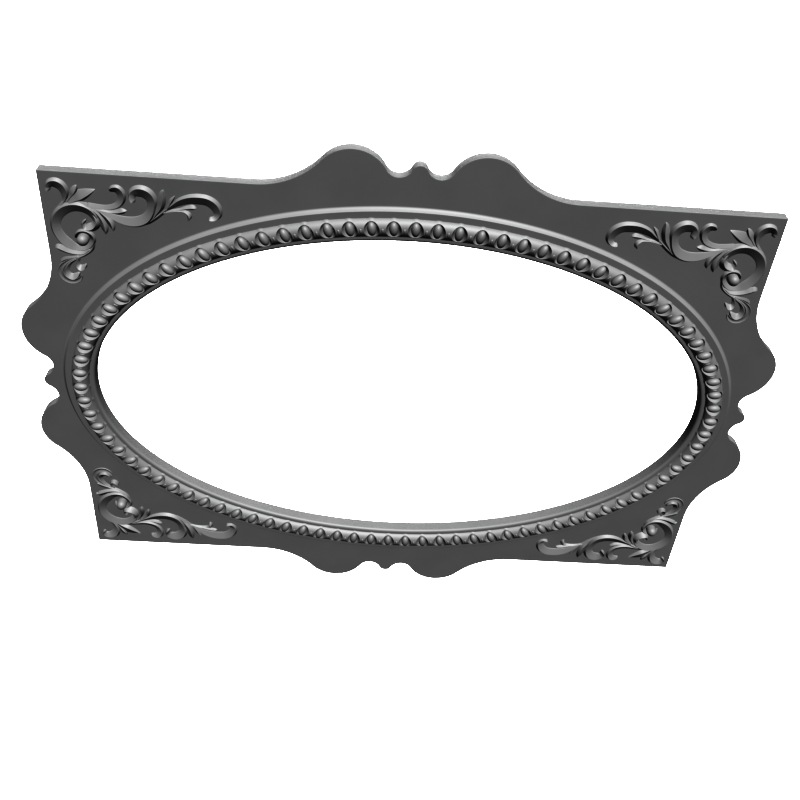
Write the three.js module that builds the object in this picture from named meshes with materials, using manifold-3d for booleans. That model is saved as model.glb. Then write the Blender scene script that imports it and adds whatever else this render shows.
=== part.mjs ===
// Oval mirror frame: a mitred board with a shaped edge, an oval moulding round the sight opening,
// an egg-and-dart band on the moulding, scrollwork in the corners and the fittings on the back.
// Millimetres, +Z up. The front faces -Y, and the origin is the middle of the opening on the board's back.
import * as THREE from "three";
import { mergeVertices } from "three/addons/utils/BufferGeometryUtils.js";
import Module from "manifold-3d";

const wasm = await Module();
wasm.setup();

// Sight opening and the board round it
const SIGHT_HALF_WIDTH = 488.5;
const SIGHT_HALF_HEIGHT = 293;
const BOARD_THICKNESS = 18;
const TOP_MARGIN = 18.7;
const SIDE_OVERREACH = 12.3;
const GLUE_LINE = 0.3;

// Shaped crests: rises above the straight edge, and offsets from the middle of the side
const TOP_CENTRE_RISE = 43;
const TOP_NOTCH_RISE = 24;
const TOP_NOTCH_OFFSET = 29.5;
const TOP_LOBE_RISE = 61.3;
const TOP_LOBE_OFFSET = 94.3;
const TOP_CREST_REACH = 230;
const SIDE_CENTRE_RISE = 43.4;
const SIDE_NOTCH_RISE = 24.7;
const SIDE_NOTCH_OFFSET = 30;
const SIDE_LOBE_RISE = 63.4;
const SIDE_LOBE_OFFSET = 97.5;
const SIDE_CREST_REACH = 229;

// Share of each double curve that its first arc takes
const CENTRE_SHARE = 0.35;
const NOTCH_SHARE = 0.275;
const LOBE_SHARE = 0.305;

// Loose tongues in the mitres
const TONGUE_LENGTH = 120;
const TONGUE_WIDTH = 40;
const TONGUE_THICKNESS = 6;
const TONGUE_CLEARANCE = 0.3;

// Oval moulding
const LIP_WIDTH = 10;
const LIP_CLEARANCE = 0.3;
const REBATE_DEPTH = 5.6;
const STRIP_HEIGHT = 8.8;
const SIGHT_ROUND = 4.5;
const PLATFORM_HEIGHT = 6.5;
const OUTER_FLAT = 10.55;
const COVE_WIDTH = 5.5;
const COVE_FOOT = 0.7;

// Egg-and-dart band: the eggs stand closer on the sides than at the top by the crowding
const BAND_INSET = 8.05;
const BAND_WIDTH = 28.3;
const BAND_HEIGHT = 11.6;
const BAND_FULLNESS = 0.56;
const EGGS_PER_LENGTH = 22;
const EGG_CROWDING = 1.14;
const EGG_HEIGHT = 12.9;
const EGG_SHOULDER = 11.8;
const FLANK_HEIGHT = 10.4;
const FLANK_SHOULDER = 8.4;
const FLANK_HALF_WIDTH = 5;
const SOCKET_FLOOR = 4.4;
const SOCKET_RIM = 6.6;
const SOCKET_END = 5;
const SOCKET_HALF_WIDTH = 9;
const BAND_SHARES = [-1, -0.8, -0.4, 0, 0.4, 0.8, 1];

// Scrollwork: its margin on the board, relief heights, and how far a ridge lies off the stroke's middle
const ORNAMENT_MARGIN = 1.6;
const SCROLL_BASE = 1.4;
const LEAF_BASE = 2.4;
const RELIEF_GROWTH = 0.36;
const SCROLL_RIDGE = 0.54;
const LEAF_RIDGE = 0.3;
const BALL_RADIUS = 8.4;
const BALL_HEIGHT = 9;
const BALL_FOOT = 8;
const BALL_RIGHT = 51.8;
const BALL_DOWN = 99;

// Turn buttons that hold the mirror and its backing in the rebate
const BUTTON_THICKNESS = 1.6;
const BUTTON_HEAD_RADIUS = 6.5;
const BUTTON_TIP_RADIUS = 4;
const BUTTON_REACH = 19;
const BUTTON_BORE = 4.4;
const BUTTON_INSET = 9;
const BUTTON_ANGLES = [20, 66];

// Hangers: a folded strap with a swinging ring
const HANGER_INSET = 57;
const HANGER_DROP = 122;
const STRAP_WIDTH = 12;
const STRAP_THICKNESS = 1.2;
const STRAP_HOLE = 3.8;
const STRAP_HOLE_SPACING = 11;
const STRAP_END = 6;
const WIRE_RADIUS = 1.4;
const RING_HALF_WIDTH = 10;
const RING_DROP = 17;
const RING_CLEARANCE = 1.2;

// Screws and wall bumpers
const SCREW_LENGTH = 12;
const SCREW_RADIUS = 1.6;
const SCREW_POINT = 3;
const SCREW_HEAD_RADIUS = 3.4;
const SCREW_HEAD_HEIGHT = 2.2;
const BUMPER_RADIUS = 6;
const BUMPER_CROWN_RADIUS = 5;
const BUMPER_HEIGHT = 6;
const BUMPER_INSET = 26;
const FIT_CLEARANCE = 0.3;

// Facets
const QUARTER_STEPS = 16;
const ARC_STEPS = 5;
const ROUND_SIDES = 8;
const WIRE_SIDES = 6;
const COVE_STEPS = 4;

// Sizes that follow from the ones above
const PLATFORM_WIDTH = BAND_INSET + BAND_WIDTH + OUTER_FLAT;
const MOULDING_WIDTH = PLATFORM_WIDTH + COVE_WIDTH;
const STRIP_WIDTH = BAND_INSET - GLUE_LINE;
const BOARD_HALF_WIDTH = SIGHT_HALF_WIDTH + MOULDING_WIDTH - SIDE_OVERREACH;
const BOARD_HALF_HEIGHT = SIGHT_HALF_HEIGHT + MOULDING_WIDTH + TOP_MARGIN;
const BORE_HALF_WIDTH = SIGHT_HALF_WIDTH + LIP_WIDTH;
const BORE_HALF_HEIGHT = SIGHT_HALF_HEIGHT + LIP_WIDTH;
const LIP_DEPTH = BOARD_THICKNESS - REBATE_DEPTH;
const FRONT = -BOARD_THICKNESS;
const PILOT_DEPTH = SCREW_LENGTH + FIT_CLEARANCE;
const PILOT_RADIUS = SCREW_RADIUS + FIT_CLEARANCE;
const FIRST_HOLE_DROP = RING_DROP + WIRE_RADIUS + RING_CLEARANCE + SCREW_HEAD_RADIUS;
const STRAP_HOLE_DROPS = [FIRST_HOLE_DROP, FIRST_HOLE_DROP + STRAP_HOLE_SPACING];
const STRAP_LENGTH = STRAP_HOLE_DROPS[1] + STRAP_END;

// Heights across the egg-and-dart band, from its inner edge to its outer edge, at each kind of station
const BAND_STATIONS = {
  dart: BAND_SHARES.map((share) => BAND_HEIGHT * (1 - share * share) ** BAND_FULLNESS),
  socket: [0, SOCKET_RIM, SOCKET_FLOOR, SOCKET_FLOOR, SOCKET_FLOOR, SOCKET_RIM, 0],
  flank: [0, SOCKET_END, FLANK_SHOULDER, FLANK_HEIGHT, FLANK_SHOULDER, SOCKET_END, 0],
  egg: [0, SOCKET_END, EGG_SHOULDER, EGG_HEIGHT, EGG_SHOULDER, SOCKET_END, 0],
};

const QUARTERS = [
  ["top_right", 1, 1],
  ["top_left", -1, 1],
  ["bottom_left", -1, -1],
  ["bottom_right", 1, -1],
];
const SIDES = [
  ["left", -1],
  ["right", 1],
];

// Strokes of the scrollwork. Each point is [right, down, half-width] from the top left corner of the
// ornament, with a fourth number where the relief stands higher or lower than its width gives it. The
// ridge runs from -1 on the left of the stroke to 1 on its right.
const STROKES = {
  cornerCurl: {
    base: SCROLL_BASE,
    ridge: -SCROLL_RIDGE,
    points: [
      [14, 27, 2.4, 3.67], [12.2, 22.4, 3.8, 2.38], [15.2, 17, 6.2, 1.41], [22.9, 15.4, 8],
      [29.8, 19, 8], [33.6, 26.4, 7], [33.6, 34.3, 5], [31.2, 41.5, 2.6], [25.7, 48.8, 2.2],
      [17.5, 58, 2.2],
    ],
  },
  scrollBowl: {
    base: SCROLL_BASE,
    ridge: 0.05,
    points: [
      [58.8, 68.7, 1.2, 2.29], [54.1, 75.4, 3.2, 2.48], [56.6, 81.8, 5.4, 2.2], [63, 81.8, 7, 2.02],
      [69.8, 78.3, 6.8, 1.93], [73.2, 71.8, 6.2, 1.71], [71.9, 65.1, 5.4, 1.3], [66.8, 58, 3.6, 0.8],
    ],
  },
  greatScroll: {
    base: SCROLL_BASE,
    ridge: SCROLL_RIDGE,
    points: [
      [72.5, 73, 2.6], [71.6, 65.6, 5.6], [66.8, 58, 6.8], [58.5, 52.4, 7.3], [47.9, 50, 7.8],
      [36.4, 51.8, 8.1], [25.7, 58.2, 8.1], [17.9, 67.5, 7.8], [14.3, 77.8, 7.6], [15, 89.2, 7.8],
      [20, 100.4, 8.2], [28.8, 109.8, 8.2], [40.8, 115.9, 5.5, 1.06], [52.5, 115.1, 4.2, 1.21],
      [61.2, 108.4, 4, 1.42], [64.8, 100.1, 4.2, 1.55], [62.4, 93.2, 4.6, 1.59],
      [55.9, 89.6, 4.6, 1.39], [47.7, 90.1, 4.2, 1.49], [41.9, 95.3, 3, 1.97], [39.7, 101.1, 1.4, 2.37],
    ],
  },
  secondScroll: {
    base: SCROLL_BASE,
    ridge: -SCROLL_RIDGE,
    points: [
      [130.4, 37.2, 2.6, 3.61], [127.2, 31, 4.6, 2.28], [128, 25, 6.4, 1.4], [132.6, 21.4, 8.4],
      [140.8, 20, 9.4], [149.8, 24.3, 9.4], [154.4, 32.6, 8.2], [153.6, 43.2, 6.8], [150, 53.8, 7.1],
      [143, 62.6, 8.2], [131.3, 68, 8.6], [117.6, 68.6, 7.9], [105.6, 65.9, 6.4], [95.6, 61.8, 4.4],
      [85.6, 57, 3.6], [76, 51.6, 3.4], [66.4, 47.5, 3.5], [55.7, 45.2, 3.2], [41.4, 46.4, 2.6],
      [29.3, 50.4, 1.8],
    ],
  },
  upperBranch: {
    base: SCROLL_BASE,
    ridge: -SCROLL_RIDGE,
    points: [
      [96.4, 23.6, 2.4], [100.6, 19.9, 5.2], [107.2, 19, 6.6], [112.4, 25.4, 6.6], [112.2, 34, 5.8],
      [107.8, 41.6, 5], [98.8, 46.8, 4.5], [87.7, 48.6, 4], [76, 47.4, 3.5], [62, 45, 3],
    ],
  },
  endHook: {
    base: SCROLL_BASE,
    ridge: -SCROLL_RIDGE,
    points: [
      [136, 74, 1.4], [148, 68.2, 2.2], [158, 61, 2.4], [168.4, 52, 2.4], [177, 44.4, 2.8],
      [183.6, 39.4, 3.8], [193.4, 32.8, 6], [205.6, 28.1, 7.4], [219.5, 26.7, 8.5], [231.8, 28.2, 8.5],
      [240.7, 33.8, 8.4], [245.4, 41.6, 7.4], [245.6, 49.2, 6], [242.1, 54.1, 4.4, 1.34],
      [237.3, 55.5, 3.1, 2.17], [232.9, 54.6, 2.2, 3.27],
    ],
  },
  lowerHook: {
    base: LEAF_BASE,
    ridge: 0,
    points: [
      [39.5, 131, 1], [29.3, 135.9, 1.6, 0.8], [20, 142.2, 2.8, 0.6], [12.5, 150.8, 4.2, 0.5],
      [10.6, 159.5, 4.8, 0.5], [13.6, 167.5, 4.8, 0.5], [20.8, 172.8, 4.6, 0.5],
      [29.6, 173.2, 4.2, 0.5], [37.4, 168.4, 3.2, 0.6], [41.5, 161.5, 1, 0.8],
    ],
  },
  lowerBowl: {
    base: SCROLL_BASE,
    ridge: SCROLL_RIDGE,
    points: [
      [36, 136, 1], [27, 143, 2], [21.8, 150.5, 3, 1.2], [20.6, 157.8, 4, 1.4], [23.2, 163.2, 5, 1.6],
      [28.4, 165, 5.2, 1.7], [34, 162, 4.2, 1.7], [38.2, 157, 1.4, 1.5],
    ],
  },
  smallCurl: {
    base: SCROLL_BASE,
    ridge: SCROLL_RIDGE,
    points: [
      [42.4, 131.5, 1.4], [38.5, 139.5, 2.4, 1.64], [38.6, 145.5, 3.4, 2.26], [42.3, 148.2, 3.8, 2.68],
      [46.9, 146.2, 3.2, 3.17], [50.5, 141.9, 1, 3.67],
    ],
  },
  bindingStem: {
    base: LEAF_BASE,
    ridge: 0,
    points: [
      [66.4, 104, 1.6], [62.1, 116, 2.4], [52.1, 125.3, 2.6], [43.6, 130.2, 2.6], [36.5, 133.6, 2.2],
    ],
  },
  budLeaf: {
    base: LEAF_BASE,
    ridge: 0.5,
    points: [
      [32.8, 45, 1.4], [41.2, 33.4, 3], [45.7, 26.6, 4.8, 1.3], [49, 21.4, 4.2, 1.2], [51.8, 16.6, 1.4],
    ],
  },
  broadLeaf: {
    base: LEAF_BASE,
    ridge: 0.5,
    points: [
      [34.5, 46.8, 1.6], [46.4, 37.6, 6.2], [54, 32.6, 9], [62, 28.6, 7.4], [70, 24.9, 4.2],
      [77, 21.6, 0.6],
    ],
  },
  firstHangingLeaf: {
    base: LEAF_BASE,
    ridge: -LEAF_RIDGE,
    points: [
      [68, 52.5, 2.2], [75.8, 61, 3.4], [80.2, 68.7, 5, 1.12], [83.4, 79.2, 5.6, 1.54],
      [84.5, 85.7, 3.6, 2.18], [85, 89.8, 1.2, 2.56],
    ],
  },
  secondHangingLeaf: {
    base: LEAF_BASE,
    ridge: -LEAF_RIDGE,
    points: [
      [78.5, 55.5, 2.2], [86.3, 63.6, 4.2], [93.1, 72.8, 5.2, 1.48], [95.5, 79.7, 3.4, 2.19],
      [96.5, 84, 1.2, 2.56],
    ],
  },
  sideLeaf: {
    base: LEAF_BASE,
    ridge: 0.1,
    points: [
      [70, 50.5, 0.8], [83, 53.6, 1.5], [94.9, 55.2, 2.4], [105.4, 54.4, 4.4], [112, 52.6, 4.6],
      [118.2, 51.4, 0.6],
    ],
  },
  tallLeaf: {
    base: LEAF_BASE,
    ridge: 0.3,
    points: [
      [151, 65.8, 1.2], [157.2, 54.8, 3], [165.4, 41.2, 6, 1.3], [168.4, 29.8, 6.2, 1.3],
      [169.8, 21.2, 4.4, 1.1], [171.4, 15.4, 1.4],
    ],
  },
  slimLeaf: {
    base: LEAF_BASE,
    ridge: LEAF_RIDGE,
    points: [[171.5, 50.5, 1.4], [177.7, 38.4, 2.6], [182, 30.5, 3], [187.4, 23.7, 0.6]],
  },
  clubLeaf: {
    base: LEAF_BASE,
    ridge: 0.1,
    points: [
      [168, 50.8, 0.8], [180, 46.8, 1.4], [193.4, 44.1, 2.2], [203.4, 41.2, 3.6], [212, 40.1, 4],
      [216.8, 40.9, 1.4],
    ],
  },
  bentLeaf: {
    base: LEAF_BASE,
    ridge: -0.1,
    points: [
      [168, 52, 0.8], [180, 48.6, 1.2], [192, 47.4, 1.8], [200.2, 48, 2.8, 1.39],
      [204.8, 51.2, 3.8, 2.06], [205.7, 55, 3.4, 2.7], [203.4, 59.4, 1.4, 3.18],
    ],
  },
  leftLeaf: {
    base: LEAF_BASE,
    ridge: -0.2,
    points: [
      [58, 117.6, 1.2], [49.3, 124, 3], [39.3, 125.1, 3.8], [27.1, 122.6, 5], [17.9, 118.6, 5.6],
      [11.6, 116.4, 4.4], [7.5, 118.3, 0.8],
    ],
  },
  lowerLeftLeaf: {
    base: LEAF_BASE,
    ridge: -LEAF_RIDGE,
    points: [
      [41, 130, 1.4, 0.6], [29.3, 133, 2.4, 0.5], [21.4, 135.4, 3.6, 0.5], [15.7, 138.4, 3, 0.5],
      [12.1, 141.6, 0.8, 0.6],
    ],
  },
};

// A geometry with shared corners, turned the right way out
function sealed(geometry) {
  const bare = new THREE.BufferGeometry();
  bare.setAttribute("position", geometry.getAttribute("position"));
  bare.setIndex(geometry.index);
  const merged = mergeVertices(bare);
  const corner = merged.getAttribute("position");
  const index = merged.index.array;
  const [a, b, c] = [new THREE.Vector3(), new THREE.Vector3(), new THREE.Vector3()];
  let volume = 0;
  for (let i = 0; i < index.length; i += 3) {
    a.fromBufferAttribute(corner, index[i]);
    b.fromBufferAttribute(corner, index[i + 1]);
    c.fromBufferAttribute(corner, index[i + 2]);
    volume += a.dot(b.cross(c));
  }
  if (volume < 0) index.reverse();
  return merged;
}

function toSolid(geometry) {
  const closed = sealed(geometry);
  return new wasm.Manifold(
    new wasm.Mesh({
      numProp: 3,
      vertProperties: new Float32Array(closed.getAttribute("position").array),
      triVerts: new Uint32Array(closed.index.array),
    }),
  );
}

function toGeometry(solid) {
  const mesh = solid.getMesh();
  const geometry = new THREE.BufferGeometry();
  geometry.setAttribute("position", new THREE.BufferAttribute(mesh.vertProperties, mesh.numProp));
  geometry.setIndex(new THREE.BufferAttribute(mesh.triVerts, 1));
  return geometry;
}

function cut(geometry, tools) {
  return toGeometry(tools.reduce((left, tool) => left.subtract(toSolid(tool)), toSolid(geometry)));
}

function join(geometries) {
  return toGeometry(geometries.map(toSolid).reduce((whole, next) => whole.add(next)));
}

// A closed body through rows of points. Each row is a loop of as many Vector3s. The ends are closed by
// the triangles of endOutline, the same loop in the plane, unless the rows themselves run in a ring.
function loft(rows, endOutline) {
  const size = rows[0].length;
  const ring = endOutline === null;
  const triangles = [];
  const spans = ring ? rows.length : rows.length - 1;
  for (let row = 0; row < spans; row += 1) {
    const near = row * size;
    const far = ((row + 1) % rows.length) * size;
    for (let k = 0; k < size; k += 1) {
      const next = (k + 1) % size;
      triangles.push(near + k, near + next, far + next, near + k, far + next, far + k);
    }
  }
  if (!ring) {
    const last = (rows.length - 1) * size;
    const forward = !THREE.ShapeUtils.isClockWise(endOutline);
    for (const [a, b, c] of THREE.ShapeUtils.triangulateShape(endOutline, [])) {
      const [p, q, r] = forward ? [a, c, b] : [a, b, c];
      triangles.push(p, q, r, last + p, last + r, last + q);
    }
  }
  const geometry = new THREE.BufferGeometry().setFromPoints(rows.flat());
  geometry.setIndex(triangles);
  return sealed(geometry);
}

// The same geometry in another quarter of the frame
function mirrored(geometry, signX, signZ) {
  return sealed(geometry.clone().scale(signX, 1, signZ));
}

function mesh(name, geometry, material) {
  const made = new THREE.Mesh(geometry, material);
  made.name = name;
  return made;
}

// Angles from one to the other that pass every station of the oval in between
function ovalAngles(from, to) {
  const step = Math.PI / 2 / QUARTER_STEPS;
  const angles = [from];
  for (let k = Math.floor(from / step) + 1; k * step < to; k += 1) {
    angles.push(k * step);
  }
  return [...angles, to];
}

// Two arcs that leave one point level and meet the next point level, without the first point
function doubleCurve(from, to, share) {
  const [dx, dz] = [to[0] - from[0], to[1] - from[1]];
  const bend = Math.sign(dz);
  const radius = (dx * dx + dz * dz) / (2 * Math.abs(dz));
  const turn = Math.acos(1 - Math.abs(dz) / radius);
  const points = [];
  for (let k = 1; k <= ARC_STEPS; k += 1) {
    const angle = (turn * k) / ARC_STEPS;
    const reach = share * radius;
    points.push([from[0] + reach * Math.sin(angle), from[1] + bend * reach * (1 - Math.cos(angle))]);
  }
  for (let k = ARC_STEPS - 1; k >= 0; k -= 1) {
    const angle = (turn * k) / ARC_STEPS;
    const reach = (1 - share) * radius;
    points.push([to[0] - reach * Math.sin(angle), to[1] - bend * reach * (1 - Math.cos(angle))]);
  }
  return points;
}

// Outline of one member of the board, as [along, across]: the shaped edge, the mitres and the oval edge
function memberOutline(member) {
  const { halfLength, reach, boreAlong, boreAcross, crest } = member;
  const start = [0, reach + crest.centreRise];
  const notch = [crest.notchOffset, reach + crest.notchRise];
  const lobe = [crest.lobeOffset, reach + crest.lobeRise];
  const half = [
    ...doubleCurve(start, notch, CENTRE_SHARE),
    ...doubleCurve(notch, lobe, NOTCH_SHARE),
    ...doubleCurve(lobe, [crest.reach, reach], LOBE_SHARE),
  ];
  const mitre = halfLength - reach - GLUE_LINE / Math.SQRT2;
  const foot = Math.acos(mitre / Math.hypot(boreAlong, boreAcross)) - Math.atan2(boreAcross, boreAlong);
  const corner = [mitre + reach, reach];
  const bore = ovalAngles(foot, Math.PI - foot).map((angle) => [
    boreAlong * Math.cos(angle),
    boreAcross * Math.sin(angle),
  ]);
  const otherHalf = half.map(([along, across]) => [-along, across]).reverse();
  return [...bore, [-corner[0], corner[1]], ...otherHalf, start, ...half, corner];
}

function boardBlank(points) {
  const shape = new THREE.Shape(points.map(([x, z]) => new THREE.Vector2(x, z)));
  const blank = new THREE.ExtrudeGeometry(shape, { depth: BOARD_THICKNESS, bevelEnabled: false });
  return blank.rotateX(Math.PI / 2);
}

// Middle of the mitre in a quarter, where the loose tongue sits
function mitreMiddle(signX, signZ) {
  const offset = BOARD_HALF_WIDTH - BOARD_HALF_HEIGHT;
  const reach = Math.hypot(BORE_HALF_WIDTH, BORE_HALF_HEIGHT);
  const foot = Math.acos(offset / reach) - Math.atan2(BORE_HALF_HEIGHT, BORE_HALF_WIDTH);
  const x = (BOARD_HALF_WIDTH + BORE_HALF_WIDTH * Math.cos(foot)) / 2;
  return new THREE.Vector3(signX * x, FRONT / 2, signZ * (x - offset));
}

function tongue(signX, signZ, clearance) {
  const box = new THREE.BoxGeometry(
    TONGUE_LENGTH + 2 * clearance,
    TONGUE_THICKNESS + 2 * clearance,
    TONGUE_WIDTH + 2 * clearance,
  );
  box.rotateY((-signX * signZ * Math.PI) / 4);
  return box.translate(...mitreMiddle(signX, signZ).toArray());
}

// Place of a turn button's screw, the way out from the opening there and the way along the edge
function buttonPlace(angle, signX, signZ) {
  const [cos, sin] = [Math.cos(angle), Math.sin(angle)];
  const out = new THREE.Vector3(cos / BORE_HALF_WIDTH, 0, sin / BORE_HALF_HEIGHT).normalize();
  const pivot = new THREE.Vector3(BORE_HALF_WIDTH * cos, 0, BORE_HALF_HEIGHT * sin);
  pivot.addScaledVector(out, BUTTON_INSET);
  const side = new THREE.Vector3(signX, 1, signZ);
  return { pivot: pivot.multiply(side), along: new THREE.Vector3(-out.z, 0, out.x).multiply(side) };
}

const buttonPlaces = QUARTERS.flatMap(([quarter, signX, signZ]) =>
  BUTTON_ANGLES.map((degrees, k) => ({
    name: `${quarter}_${k + 1}`,
    ...buttonPlace(THREE.MathUtils.degToRad(degrees), signX, signZ),
  })),
);

function hangerPlace(sign) {
  return new THREE.Vector3(sign * (BOARD_HALF_WIDTH - HANGER_INSET), 0, BOARD_HALF_HEIGHT - HANGER_DROP);
}

const hangerScrewPlaces = SIDES.flatMap(([side, sign]) =>
  STRAP_HOLE_DROPS.map((drop, k) => ({
    name: `${side}_${k + 1}`,
    place: hangerPlace(sign).add(new THREE.Vector3(0, 0, -drop)),
  })),
);

function pilotHole(place) {
  const hole = new THREE.CylinderGeometry(PILOT_RADIUS, PILOT_RADIUS, 2 * PILOT_DEPTH, ROUND_SIDES);
  return hole.translate(...place.toArray());
}

// The four members of the board, with slots for the tongues and pilot holes for the screws
function boardMembers(material) {
  const slots = QUARTERS.map(([, signX, signZ]) => tongue(signX, signZ, TONGUE_CLEARANCE));
  const places = [...buttonPlaces.map((spot) => spot.pivot), ...hangerScrewPlaces.map((spot) => spot.place)];
  const rail = memberOutline({
    halfLength: BOARD_HALF_WIDTH,
    reach: BOARD_HALF_HEIGHT,
    boreAlong: BORE_HALF_WIDTH,
    boreAcross: BORE_HALF_HEIGHT,
    crest: {
      centreRise: TOP_CENTRE_RISE,
      notchRise: TOP_NOTCH_RISE,
      notchOffset: TOP_NOTCH_OFFSET,
      lobeRise: TOP_LOBE_RISE,
      lobeOffset: TOP_LOBE_OFFSET,
      reach: TOP_CREST_REACH,
    },
  });
  const stile = memberOutline({
    halfLength: BOARD_HALF_HEIGHT,
    reach: BOARD_HALF_WIDTH,
    boreAlong: BORE_HALF_HEIGHT,
    boreAcross: BORE_HALF_WIDTH,
    crest: {
      centreRise: SIDE_CENTRE_RISE,
      notchRise: SIDE_NOTCH_RISE,
      notchOffset: SIDE_NOTCH_OFFSET,
      lobeRise: SIDE_LOBE_RISE,
      lobeOffset: SIDE_LOBE_OFFSET,
      reach: SIDE_CREST_REACH,
    },
  });
  const blanks = [
    ["rail_top", boardBlank(rail)],
    ["rail_bottom", boardBlank(rail.map(([along, across]) => [along, -across]))],
    ["stile_left", boardBlank(stile.map(([along, across]) => [-across, along]))],
    ["stile_right", boardBlank(stile.map(([along, across]) => [across, along]))],
  ];
  const holes = places.map(pilotHole);
  return blanks.map(([name, blank]) => mesh(name, cut(blank, [...slots, ...holes]), material));
}

function tongues(material) {
  return QUARTERS.map(([quarter, signX, signZ]) =>
    mesh(`mitre_tongue_${quarter}`, tongue(signX, signZ, 0), material),
  );
}

// Section of the oval moulding, as [distance out from the sight edge, height above the board's face]
function mouldingSection() {
  const round = SIGHT_ROUND * (1 - Math.SQRT1_2);
  const cove = [];
  for (let k = 0; k <= COVE_STEPS; k += 1) {
    const share = k / COVE_STEPS;
    const height = COVE_FOOT + (PLATFORM_HEIGHT - COVE_FOOT) * (1 - share) ** 2;
    cove.push([PLATFORM_WIDTH + COVE_WIDTH * share, height]);
  }
  return [
    [0, -LIP_DEPTH],
    [0, STRIP_HEIGHT - SIGHT_ROUND],
    [round, STRIP_HEIGHT - round],
    [SIGHT_ROUND, STRIP_HEIGHT],
    [STRIP_WIDTH, STRIP_HEIGHT],
    [STRIP_WIDTH, PLATFORM_HEIGHT],
    ...cove,
    [MOULDING_WIDTH, GLUE_LINE],
    [LIP_WIDTH - LIP_CLEARANCE, GLUE_LINE],
    [LIP_WIDTH - LIP_CLEARANCE, -LIP_DEPTH],
  ];
}

function mouldings(material) {
  const section = mouldingSection();
  const rows = ovalAngles(0, Math.PI / 2).map((angle) =>
    section.map(([out, height]) => {
      const x = (SIGHT_HALF_WIDTH + out) * Math.cos(angle);
      const z = (SIGHT_HALF_HEIGHT + out) * Math.sin(angle);
      return new THREE.Vector3(Math.max(x, GLUE_LINE / 2), FRONT - height, Math.max(z, GLUE_LINE / 2));
    }),
  );
  const quarter = loft(rows, section.map(([out, height]) => new THREE.Vector2(out, height)));
  return QUARTERS.map(([name, signX, signZ]) =>
    mesh(`oval_moulding_${name}`, mirrored(quarter, signX, signZ), material),
  );
}

// The band in four lengths that meet at the darts. Each egg has a socket on either side of it. The eggs
// are spaced evenly on an oval that is narrower by the crowding.
function eggBands(material) {
  const middle = BAND_INSET + BAND_WIDTH / 2;
  const halfWidth = SIGHT_HALF_WIDTH + middle;
  const halfHeight = SIGHT_HALF_HEIGHT + middle;
  const spacing = new THREE.EllipseCurve(0, 0, halfWidth / EGG_CROWDING, halfHeight);
  const length = new THREE.EllipseCurve(0, 0, halfWidth, halfHeight).getLength();
  const eggs = EGGS_PER_LENGTH * QUARTERS.length;
  const jointTrim = GLUE_LINE / 2 / length;
  const socketShare = SOCKET_HALF_WIDTH / length;
  const flankShare = FLANK_HALF_WIDTH / length;
  const row = (share, heights) => {
    const angle = 2 * Math.PI * spacing.getUtoTmapping(THREE.MathUtils.euclideanModulo(share, 1));
    return heights.map((height, k) => {
      const out = middle + (BAND_WIDTH / 2) * BAND_SHARES[k];
      const rise = PLATFORM_HEIGHT + GLUE_LINE + height;
      return new THREE.Vector3(
        (SIGHT_HALF_WIDTH + out) * Math.cos(angle),
        FRONT - rise,
        (SIGHT_HALF_HEIGHT + out) * Math.sin(angle),
      );
    });
  };
  const end = BAND_SHARES.map((share, k) => new THREE.Vector2(share, BAND_STATIONS.dart[k]));
  return QUARTERS.map(([name], quarter) => {
    const rows = [];
    for (let k = 0; k < EGGS_PER_LENGTH; k += 1) {
      const egg = (quarter * EGGS_PER_LENGTH + k) / eggs;
      rows.push(
        row(egg - 0.5 / eggs + (k === 0 ? jointTrim : 0), BAND_STATIONS.dart),
        row(egg - socketShare, BAND_STATIONS.socket),
        row(egg - flankShare, BAND_STATIONS.flank),
        row(egg, BAND_STATIONS.egg),
        row(egg + flankShare, BAND_STATIONS.flank),
        row(egg + socketShare, BAND_STATIONS.socket),
      );
    }
    const last = ((quarter + 1) * EGGS_PER_LENGTH - 0.5) / eggs - jointTrim;
    rows.push(row(last, BAND_STATIONS.dart));
    return mesh(`egg_and_dart_${name}`, loft(rows, end), material);
  });
}

// A point of the scrollwork in the top right quarter of the frame
function ornamentPlace(right, down, height) {
  const x = BOARD_HALF_WIDTH - ORNAMENT_MARGIN - right;
  const z = BOARD_HALF_HEIGHT - ORNAMENT_MARGIN - down;
  return new THREE.Vector3(x, FRONT - GLUE_LINE - height, z);
}

// One stroke of the scrollwork as a ridged strip
function strokeSolid({ points, ridge, base }) {
  const rows = points.map(([right, down, half, lift = 1], k) => {
    const before = points[Math.max(k - 1, 0)];
    const after = points[Math.min(k + 1, points.length - 1)];
    const way = new THREE.Vector2(after[0] - before[0], after[1] - before[1]).normalize();
    way.multiplyScalar(half);
    const across = (share, height) =>
      ornamentPlace(right - way.y * share, down + way.x * share, height);
    return [across(-1, 0), across(ridge, lift * (base + RELIEF_GROWTH * half)), across(1, 0)];
  });
  const end = [new THREE.Vector2(-1, 0), new THREE.Vector2(ridge, 1), new THREE.Vector2(1, 0)];
  return loft(rows, end);
}

// The ball in the eye of the great scroll, on its foot
function ballSolid() {
  const profile = [new THREE.Vector2(0, 0), new THREE.Vector2(BALL_RADIUS, 0)];
  for (let k = 0; k <= ARC_STEPS; k += 1) {
    const angle = (Math.PI / 2) * (k / ARC_STEPS);
    const height = BALL_FOOT + BALL_HEIGHT * Math.sin(angle);
    profile.push(new THREE.Vector2(BALL_RADIUS * Math.cos(angle), height));
  }
  const ball = new THREE.LatheGeometry(profile, ROUND_SIDES);
  ball.rotateX(Math.PI);
  return ball.translate(...ornamentPlace(BALL_RIGHT, BALL_DOWN, 0).toArray());
}

function cornerOrnaments(material) {
  const ornament = join([...Object.values(STROKES).map(strokeSolid), ballSolid()]);
  return QUARTERS.map(([quarter, signX, signZ]) =>
    mesh(`corner_ornament_${quarter}`, mirrored(ornament, signX, signZ), material),
  );
}

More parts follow.
